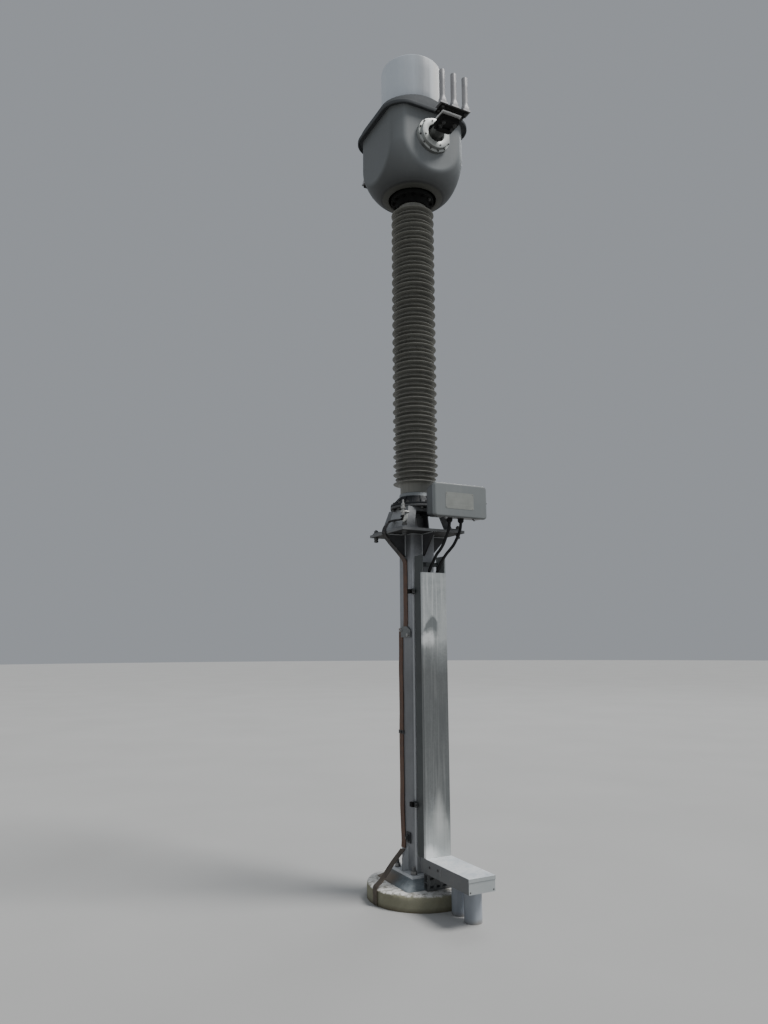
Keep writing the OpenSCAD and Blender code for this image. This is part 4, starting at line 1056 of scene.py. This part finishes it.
def build_box():
    g = Geo()
    secs = []
    for y, dx, db, dt, r in ((-0.3855, 0.003, 0.004, 0.004, 0.024), (-0.378, 0.003, 0.004, 0.004, 0.024), (-0.350, 0.003, 0.0045, 0.006, 0.026),
                             (-0.322, 0.003, 0.006, 0.010, 0.030), (-0.305, 0.006, 0.008, 0.016, 0.032), (-0.290, 0.012, 0.011, 0.024, 0.033),
                             (-0.278, 0.020, 0.016, 0.034, 0.034), (-0.2705, 0.029, 0.022, 0.045, 0.034), (-0.2655, 0.040, 0.030, 0.060, 0.034), (-0.2642, 0.052, 0.040, 0.072, 0.032)):
        secs.append(rrect(BL + dx, BR - dx, BB + db, BT - dt, r, y, 10))
    g.rings(np.array(secs))
    g.obj("box_shell", M_BOX_SHADED, "box_paint", ["terminal_box_body"], 50)
    g = Geo()
    secs = []
    for y, d, r in ((-0.386, 0.0035, 0.022), (-0.3865, 0.0008, 0.0245), (-0.389, 0.0, 0.025), (-0.4065, 0.0, 0.025), (-0.411, 0.0007, 0.0245), (-0.4155, 0.0028, 0.023),
                    (-0.4185, 0.0062, 0.020), (-0.4198, 0.0105, 0.017), (-0.420, 0.016, 0.014)):
        secs.append(rrect(BL + d, BR - d, BB + d, BT - d, r, y, 10))
    g.rings(np.array(secs))
    g.obj("box_lid", M_LID, "box_paint", ["terminal_box_lid"], 50)
    # bare rating plate with four small screws
    g = Geo()
    g.rings(np.array([rrect(0.002, 0.238, 2.672, 2.790, 0.006, y, 5) for y in (-0.4195, -0.4212)]))
    g.obj("blank_plate", M_NAMEPLATE, "plate_metal", ["rating_plate"], 40)
    g = Geo()
    for px in (0.010, 0.230):
        for pz in (2.680, 2.782):
            g.lathe([(0.0036, 0), (0.0034, 0.0011), (0.002, 0.0018)], 14, to_axis((0, -1, 0), (px, -0.4212, pz)))
    # fasteners along the lid's lower edge, and one on the right
    for px in (0.012, 0.252):
        g.box((px - 0.009, -0.4125, BB - 0.009), (px + 0.009, -0.392, BB + 0.0005))
        g.bolt((px, -0.402, BB - 0.009), (0, 0, -1), 0.013, 0.006)
    g.bolt((BR, -0.400, 2.735), (1, 0, 0), 0.014, 0.007)
    g.obj("box_screws", M_BOLT, "bolt_steel")
    # glands: lock nut, body, dome nut
    g = Geo()
    for x in (0.084, 0.180):
        M = Matrix.Translation((x, -0.335, 0))
        g.lathe([(0.0205, 2.6045), (0.0225, 2.606), (0.0225, 2.614), (0.020, 2.6165)], 40, M)
        g.nut(M @ Matrix.Translation((0, 0, 2.594)), 0.037, 0.0105)
        g.lathe([(0.0118, 2.5865), (0.0150, 2.5872), (0.0168, 2.589), (0.0175, 2.5945)], 40, M)
    g.obj("box_glands", M_RUBBER, "black_cable", ["cable_glands"], 32)
    dress("box_neck", M_CAST, 0.003, 3)


CABLE_L = [(84, -335, 2588), (82, -332, 2555), (77, -325, 2520), (67, -311, 2480), (54, -293, 2430),
           (38, -272, 2390), (22, -250, 2358), (4, -224, 2300), (-10, -203, 2250), (-16, -190, 2190),
           (-18, -185, 2100), (-18, -185, 1600), (-18, -185, 1100), (-18, -185, 600), (-18, -187, 420),
           (-16, -200, 345), (-8, -232, 290), (2, -290, 262), (10, -350, 256), (14, -395, 245),
           (14, -425, 215), (14, -437, 160), (14, -438, 90), (14, -438, 12)]
CABLE_R = [(180, -335, 2588), (177, -334, 2555), (169, -332, 2520), (155, -323, 2480), (136, -304, 2430),
           (116, -283, 2395), (96, -261, 2362), (74, -231, 2310), (58, -206, 2255), (50, -192, 2195),
           (47, -187, 2110), (46, -185, 1600), (46, -185, 1100), (46, -185, 600), (46, -187, 420),
           (46, -202, 345), (46, -236, 290), (46, -300, 268), (46, -420, 268), (45, -520, 268),
           (44, -565, 255), (44, -595, 215), (44, -605, 160), (44, -606, 90), (44, -606, 12)]


def build_cables():
    for name, route, node in (("signal_cable_left", CABLE_L, "secondary_cable_left"), ("signal_cable_right", CABLE_R, "secondary_cable_right")):
        g = Geo()
        g.tube(spline(np.array(route) / 1000, 7), 0.0108, 18)
        g.obj(name, M_RUBBER, "black_cable", [node], 40)


# ================================================================ insulator
def build_insulator():
    big = [(R_CORE, -0.0150), (R_CORE + 0.004, -0.0085), (R_CORE + 0.010, -0.0060), (0.155, -0.0045), (R_SHED - 0.0022, -0.0038), (R_SHED - 0.0004, -0.0028),
           (R_SHED, -0.0012), (R_SHED - 0.0006, 0.0002), (R_SHED - 0.003, 0.0013), (0.155, 0.0050), (0.136, 0.0100), (R_CORE + 0.005, 0.0150), (R_CORE, 0.0205)]
    small = [(R_CORE, -0.0130), (R_CORE + 0.004, -0.0075), (R_CORE + 0.010, -0.0055), (R_SMALL - 0.002, -0.0036), (R_SMALL - 0.0004, -0.0027), (R_SMALL, -0.0012),
             (R_SMALL - 0.0006, 0.0002), (R_SMALL - 0.003, 0.0013), (0.138, 0.0060), (R_CORE + 0.005, 0.0120), (R_CORE, 0.0170)]
    prof = [(R_CORE - 0.004, Z_SHEATH), (R_CORE, Z_SHEATH + 0.002), (R_CORE, Z_SHED - 0.04)]
    for i in range(SHEDS):
        z = Z_SHED + i * PITCH
        prof += [(r, z + d) for r, d in big]
        if i < SHEDS - 1:
            prof += [(r, z + PITCH / 2 + d) for r, d in small]
    prof += [(R_CORE, Z_UPPER)]
    g = Geo()
    g.lathe(prof, 84)
    g.obj("insulator_sheds", M_SHED, "shed_rubber", ["insulator"], 60)
    # lower flange: ledge with a ring of bolts, ribbed cone and clamping collar
    g = Geo()
    g.lathe([(0.188, 2.7402), (0.193, 2.7425), (0.193, 2.7515), (0.1905, 2.7535), (0.1705, 2.7545), (0.1665, 2.7575), (0.1600, 2.7680), (0.1480, 2.7850), (0.1360, 2.8005),
             (0.1290, 2.8120), (0.1250, 2.8180), (0.1245, 2.8330), (0.1225, 2.8365), (0.118, 2.8378)], 120)
    for k in range(16):
        a = math.radians(22.5 * k + 6)
        M = Matrix.Rotation(a, 4, "Z")
        g.prism([(0.150, 2.753), (0.186, 2.753), (0.158, 2.782), (0.134, 2.808), (0.124, 2.818), (0.124, 2.790)], 0.008,
                M @ Matrix(((1, 0, 0, 0), (0, 0, 1, -0.004), (0, 1, 0, 0), (0, 0, 0, 1))))
    g.obj("lower_flange", M_FLANGE, "dark_flange", ["insulator_lower_flange"], 35)
    g = Geo()
    for k in range(16):
        a = math.radians(22.5 * k + 17.25)
        g.bolt((0.1805 * math.cos(a), 0.1805 * math.sin(a), 2.7532), (0, 0, 1), 0.017, 0.010, spin=a, dome=True)
    g.obj("lower_flange_bolts", M_BOLT_DARK, "bolt_steel")
    # upper flange: collar on the tube, then a bolted ring inside the neck of the head
    g = Geo()
    z = Z_UPPER
    g.lathe([(0.1175, z), (0.125, z + 0.001), (0.128, z + 0.004), (0.128, z + 0.044), (0.1315, z + 0.050), (0.140, z + 0.0545), (0.169, z + 0.0552), (0.172, z + 0.058),
             (0.172, z + 0.084), (0.150, z + 0.092), (0.150, z + 0.1175)], 96)
    g.obj("upper_flange", M_UPPER, "dark_flange", ["insulator_upper_flange"], 35)
    # bolts in the neck recess take the near-black painted shade; one stays bolt steel as painted light on a lit bolt
    g, g_lit = Geo(), Geo()
    for k in range(12):
        a = math.radians(4 + 30 * k)
        (g_lit if k == 10 else g).bolt((0.152 * math.cos(a), 0.152 * math.sin(a), z + 0.0554), (0, 0, -1), 0.019, 0.012, spin=a)
    g.obj("upper_flange_bolts", M_NECK_SHADE, "bolt_steel")
    g_lit.obj("upper_flange_bolt_lit", M_BOLT_DARK, "bolt_steel")


# ================================================================ head
def smin(a, b, k):
    h = np.clip(0.5 + 0.5 * (b - a) / k, 0, 1)
    return b * (1 - h) + a * h - k * h * (1 - h)


def head_radius(h):
    """Radius of the round housing at height h above the neck."""
    u = np.clip(1 - np.asarray(h, float) / 0.3137, 0, 1)
    return 0.2035 + (HEAD_R - 0.2035) * (1 - u ** 1.886) ** 0.6266


def build_head():
    n = 320
    t = np.linspace(0, 2 * math.pi, n, endpoint=False)
    ph = np.abs((t + math.pi / 4) % (math.pi / 2) - math.pi / 4)
    flat = FACET / np.cos(ph)
    hs = np.r_[0.0035, 0.0065, 0.0100, 0.0140, np.linspace(0.0185, 0.33, 84), np.linspace(0.345, 0.579, 22)]
    P = []
    ring = lambda r, z: np.stack([r * np.cos(t), r * np.sin(t), 0 * t + z], 1)
    # recess inside the neck, then the lip and its crease, then the outside
    for r, h in ((0.152, 0.0398), (0.1900, 0.0398), (0.1910, 0.039), (0.1910, 0.007), (0.1914, 0.0035), (0.1930, 0.0010), (0.1955, 0.0), (0.2020, 0.0), (0.2070, 0.0008)):
        P.append(ring(np.full(n, r), Z_NECK + h))
    for h in hs:
        R = float(head_radius(h))
        # shallow crease outside the lip
        dz = 0.0042 * math.exp(-((R - 0.247) / 0.0055) ** 2)
        P.append(ring(smin(np.full(n, R), flat, 0.016), Z_NECK + h + dz))
    P.append(ring(smin(np.full(n, HEAD_R), flat, 0.016), Z_HEAD - 0.0005))
    P.append(ring(np.full(n, 0.20), Z_HEAD - 0.0004))
    g = Geo()
    g.rings(np.array(P))
    g.obj("head_shell", M_HEAD, "head_paint", ["head_housing"], 50)
    # near-black sheet just inside the neck recess: painted shade
    g = Geo()
    g.lathe([(0.152, Z_NECK + 0.0395), (0.1902, Z_NECK + 0.0395), (0.1906, Z_NECK + 0.0388), (0.1906, Z_NECK + 0.005), (0.1896, Z_NECK + 0.005), (0.1896, Z_NECK + 0.0380), (0.152, Z_NECK + 0.0380)], 96, wrap=True)
    g.obj("neck_recess_shade", M_NECK_SHADE, "head_paint")


def build_hood():
    n = 320
    t = np.linspace(0, 2 * math.pi, n, endpoint=False)
    ring = lambda a, rc, z: (lambda r: np.stack([r * np.cos(t), r * np.sin(t), 0 * t + z], 1))(round_square_r(a, rc, t))
    P = [ring(0.15, 0.14, Z_HEAD + 0.0015), ring(0.3555, 0.1635, Z_HEAD + 0.0015), ring(0.3637, 0.1696, Z_HEAD - 0.002), ring(0.3662, 0.1716, Z_HEAD - 0.006), ring(0.3678, 0.1732, Z_HEAD - 0.0175),
         ring(0.3693, 0.1747, Z_HEAD - 0.0200), ring(0.3724, 0.1778, Z_HEAD - 0.0208), ring(0.3758, 0.1803, Z_HEAD - 0.0195), ring(0.3772, 0.1813, Z_HEAD - 0.0165),
         ring(0.3772, 0.1813, Z_HEAD + 0.000), ring(0.3768, 0.1808, Z_HEAD + 0.0042), ring(0.3755, 0.1798, Z_HEAD + 0.0072), ring(0.3734, 0.1788, Z_HEAD + 0.0092)]
    ks = np.array([[0.0105, 0.3720, 0.1783], [0.060, 0.352, 0.199], [0.115, 0.318, 0.230], [0.173, 0.279, 0.267], [0.196, 0.2518, 0.2514]])
    s = spline(ks, 14)
    q = np.linspace(0, 1, len(s))
    for v in np.linspace(0, 1, 34)[1:]:
        h, a, rc = (np.interp(v, q, s[:, c]) for c in range(3))
        P.append(ring(a, min(rc, a - 0.0004), Z_HEAD + h))
    P += [ring(0.2495, 0.2492, Z_HEAD + 0.1978), ring(0.2480, 0.2477, Z_HEAD + 0.1990), ring(0.2465, 0.2462, Z_HEAD + 0.1996), ring(0.12, 0.1198, Z_HEAD + 0.1996)]
    g = Geo()
    g.rings(np.array(P))
    g.obj("hood_shell", M_HOOD, "head_paint", ["hood"], 55)


def build_bellows_cover():
    z0 = Z_HEAD + 0.200
    R = BEL_R
    prof = [(R - 0.002, z0), (R - 0.0003, z0 + 0.001), (R, z0 + 0.003), (R, z0 + 0.06), (R, z0 + 0.15), (R, z0 + 0.25)]
    prof += [(R - 0.018 + 0.018 * math.cos(a), z0 + BEL_H - 0.020 + 0.016 * math.sin(a)) for a in np.linspace(0, math.pi / 2, 9)]
    prof += [(0.19, z0 + BEL_H - 0.0030), (0.13, z0 + BEL_H - 0.0014), (0.06, z0 + BEL_H - 0.0003)]
    g = Geo()
    g.lathe(prof, 160)
    g.obj("bellows_shell", M_WHITE, "cover_white", ["bellows_cover"], 50)
    # filler cap on the top, inside the height of the part
    g = Geo()
    g.bolt((0.0, 0.12, z0 + BEL_H - 0.0035), (0, 0, 1), 0.012, 0.003, washer=False)
    g.obj("top_plug", M_BOLT, "bolt_steel")


# ================================================================ primary terminals
def build_terminals():
    spin = Matrix.Rotation(math.pi, 4, "Z")
    parts = {}

    def G(key):
        return parts.setdefault(key, Geo())

    for R, lift, back in ((Matrix.Identity(4), 0.0, 0.0), (spin, REAR_LIFT, REAR_BACK)):
        B = R @ Matrix(((1, 0, 0, 0), (0, 0, -1, -FACET), (0, 1, 0, TERM), (0, 0, 0, 1)))
        # stepped flange, turned about the stem
        G("flange").lathe([(0.0508, 0.0), (0.1385, 0.0), (0.140, 0.0015), (0.140, 0.0275), (0.1388, 0.0292), (0.1355, 0.0300), (0.1260, 0.0302), (0.1232, 0.0315), (0.1220, 0.0345),
                           (0.1220, 0.0560), (0.1205, 0.0588), (0.1175, 0.0600), (0.0760, 0.0600), (0.0725, 0.0590), (0.0705, 0.0565), (0.0700, 0.0300), (0.0690, 0.0265),
                           (0.0525, 0.0260), (0.0508, 0.0250)], 128, B, wrap=True)
        # bolts on the outer ledge and on the ring
        for k in range(12):
            a = math.radians(-77 + 30 * k)
            M = B @ Matrix.Translation((0.1310 * math.cos(a), 0.1310 * math.sin(a), 0.0303)) @ Matrix.Rotation(a, 4, "Z")
            G("fbolts").washer(M, 0.0066, 0.0012, 20)
            G("fbolts").nut(M @ Matrix.Translation((0, 0, 0.0012)), 0.0105, 0.0070, 24)
        for k in range(4):
            a = math.radians(-70 + 90 * k)
            M = B @ Matrix.Translation((0.100 * math.cos(a), 0.100 * math.sin(a), 0.0600)) @ Matrix.Rotation(a, 4, "Z")
            G("fbolts").nut(M, 0.012, 0.0045, 24)
        # insulating washer in the mouth of the flange
        G("gasket").lathe([(0.0505, 0.0262), (0.0688, 0.0262), (0.0688, 0.0330), (0.0660, 0.0352), (0.0530, 0.0352), (0.0505, 0.0330)], 80, B, wrap=True)
        # stem, with a turned shoulder and a rounded end
        G("stem").lathe([(0.0485, 0.002), (0.0500, 0.004), (0.0500, 0.046), (0.0485, 0.048), (0.0485, 0.052), (0.0500, 0.054), (0.0500, 0.163), (0.0485, 0.1720),
                         (0.0445, 0.1785), (0.0400, 0.1818)], 72, B)
        # flat palm with a backing plate under it
        G("palm").box((-0.076, -0.600 + back, TERM - 0.042), (0.076, -0.470, TERM + 0.0058), R)
        G("palm").box((-0.056, -0.520, TERM - 0.056), (0.056, -0.474, TERM - 0.0422), R)
        if lift:
            G("palm").box((-0.062, -0.572, TERM + 0.0062), (0.062, -0.515, TERM + 0.0058 + lift), R)
        # clamp plates, one on the other
        G("low_plate").box((-0.082, -0.620, TERM + 0.006 + lift), (0.082, -0.515, TERM + 0.0198 + lift), R)
        G("top_plate").box((-0.115, -0.670, TERM + 0.0202 + lift), (0.115, -0.560, TERM + 0.0318 + lift), R)
        for x in (-0.048, 0.048):
            for y in (-0.576 + back, -0.530 + back):
                M = R @ to_axis((0, 0, -1), (x, y, TERM - 0.042), 0.3)
                G("pbolts").washer(M, 0.0165, 0.003)
                G("pbolts").nut(M @ Matrix.Translation((0, 0, 0.003)), 0.0225, 0.0140)
        for x in (() if lift else (-0.099, 0.099)):
            for y in (-0.648, -0.590):
                M = R @ to_axis((0, 0, -1), (x, y, TERM + 0.0202 + lift), 0.3)
                G("pbolts").washer(M, 0.0125, 0.002)
                G("pbolts").nut(M @ Matrix.Translation((0, 0, 0.002)), 0.019, 0.010)
        # line-conductor sockets: foot, flared shoulder and smooth barrel
        for i in (-1, 0, 1):
            cx, cy, z = i * 0.100, -0.643, TERM + 0.032 + lift
            M = R @ Matrix.Translation((cx, cy, z))
            secs = []
            tt = np.linspace(0, 2 * math.pi, 48, endpoint=False)
            G("lug_feet").box((cx - 0.0328, cy - 0.0268, z + 0.0002), (cx + 0.0328, cy + 0.0498, z + 0.0136), R)
            G("lug_bolts").bolt(tuple(R @ Vector((cx, cy + 0.0400, z + 0.0137))), (0, 0, 1), 0.0145, 0.009, washer=False, spin=0.4)
            for zz, a, rc in ((0.0130, 0.0262, 0.006), (0.0200, 0.0268, 0.008), (0.032, 0.0266, 0.013), (0.046, 0.0256, 0.019),
                              (0.060, 0.0238, 0.0234), (0.070, 0.0227, 0.0226), (0.078, 0.0225, 0.0224)):
                r = round_square_r(a, min(rc, a - 1e-4), tt)
                secs.append(np.stack([r * np.cos(tt), r * np.sin(tt), 0 * tt + zz], 1))
            for zz, r in ((0.180, 0.0224), (0.286, 0.0225), (0.289, 0.0218), (0.290, 0.0205), (0.290, 0.0160), (0.2885, 0.0151), (0.20, 0.0150), (0.071, 0.0150), (0.070, 0.010)):
                secs.append(np.stack([r * np.cos(tt), r * np.sin(tt), 0 * tt + zz], 1))
            G("lugs").rings(np.array(secs), M)
    parts["flange"].obj("terminal_flanges", M_BARE, "bare_aluminium", ["primary_flanges"], 35)
    parts["fbolts"].obj("terminal_flange_bolts", M_BOLT_DARK, "bolt_steel")
    parts["gasket"].obj("terminal_gaskets", M_RUBBER, "black_cable")
    parts["stem"].obj("terminal_stems", M_TERM, "terminal_dark", ["primary_stems"], 35)
    parts["palm"].obj("terminal_palms", M_CLAMP, "terminal_dark", (), 35, 0.004, 3)
    parts["low_plate"].obj("clamp_plates", M_HIGHLIGHT_PLATE, "terminal_dark", ["terminal_clamps"], 35, 0.0015)
    parts["top_plate"].obj("clamp_top_plates", M_CLAMP, "terminal_dark", (), 35, 0.0018)
    parts["lug_feet"].obj("socket_feet", M_LUG, "bare_aluminium", (), 35, 0.0018)
    parts["lug_bolts"].obj("socket_foot_bolts", M_BOLT_DARK, "bolt_steel", (), 32)
    parts["pbolts"].obj("clamp_bolts", M_BOLT_DARK, "bolt_steel", (), 32)
    parts["lugs"].obj("conductor_sockets", M_LUG, "bare_aluminium", ["conductor_lugs"], 35)


build_footing()
build_grout()
build_post()
build_anchor_bolts()
build_cap_bolts()
build_duct()
build_brackets()
build_foot_duct()
build_conduits()
build_straps()
build_earth_lead()
build_base()
build_fittings()
build_box()
build_cables()
build_insulator()
build_head()
build_hood()
build_bellows_cover()
build_terminals()

# ================================================================ floor, light, camera
def floor_mat():
    m = Mat("studio_floor", rough=0.85, spec=0.2)
    col = m.mix(m.ramp(m.noise(0.6, 3, 0.5), 0.3, 0.7), (0.49, 0.49, 0.48), (0.52, 0.52, 0.51))
    return m.done(col)


def build_stage():
    t = np.linspace(0, 2 * math.pi, 96, endpoint=False)
    me = bpy.data.meshes.new("studio_floor")
    v = [(80 * math.cos(a), 80 * math.sin(a), 0.0) for a in t]
    me.from_pydata(v, [], [tuple(range(len(v)))])
    me.materials.append(floor_mat())
    o = bpy.data.objects.new("studio_floor", me)
    bpy.context.scene.collection.objects.link(o)
    w = bpy.data.worlds.new("studio")
    bpy.context.scene.world = w
    w.use_nodes = True
    w.node_tree.nodes["Background"].inputs["Color"].default_value = (0.84, 0.89, 0.96, 1)
    w.node_tree.nodes["Background"].inputs["Strength"].default_value = 0.36

    def area(name, at, to, size, power, color):
        d = bpy.data.lights.new(name, "AREA")
        d.shape, d.size, d.energy, d.color = "DISK", size, power, color
        ob = bpy.data.objects.new(name, d)
        ob.location = at
        ob.rotation_mode = "QUATERNION"
        ob.rotation_quaternion = (Vector(to) - Vector(at)).to_track_quat("-Z", "Y")
        bpy.context.scene.collection.objects.link(ob)

    d = bpy.data.lights.new("key", "SUN")
    d.energy, d.angle, d.color = 2.50, 0.38, (1.0, 0.985, 0.965)
    ob = bpy.data.objects.new("key", d)
    ob.rotation_mode = "QUATERNION"
    ob.rotation_quaternion = Vector((-13.6, 12.9, -28.2)).to_track_quat("-Z", "Y")
    bpy.context.scene.collection.objects.link(ob)
    area("back", (14.0, 10.0, 20.0), (0, 0, 3.6), 10.0, 800, (0.96, 0.98, 1.0))


def build_camera():
    yaw, pitch, roll = math.radians(27.4), math.radians(9.79), math.radians(0.2975)
    dist, lateral, eye = 5.73, 0.24266, 1.72
    fwd = Vector((math.sin(yaw), math.cos(yaw), 0))
    rt = Vector((math.cos(yaw), -math.sin(yaw), 0))
    zz = Vector((0, 0, 1))
    f = fwd * math.cos(pitch) + zz * math.sin(pitch)
    u = zz * math.cos(pitch) - fwd * math.sin(pitch)
    right = rt * math.cos(roll) - u * math.sin(roll)
    up = u * math.cos(roll) + rt * math.sin(roll)
    at = -lateral * rt - dist * fwd + zz * eye
    cam = bpy.data.cameras.new("photo_camera")
    cam.sensor_width = 36.0
    cam.lens = 769.0 / 1024.0 * 36.0
    cam.clip_start, cam.clip_end = 0.05, 300
    o = bpy.data.objects.new("photo_camera", cam)
    o.matrix_world = Matrix((
        (right.x, up.x, -f.x, at.x), (right.y, up.y, -f.y, at.y), (right.z, up.z, -f.z, at.z), (0, 0, 0, 1)))
    bpy.context.scene.collection.objects.link(o)
    bpy.context.scene.camera = o


build_stage()
build_camera()
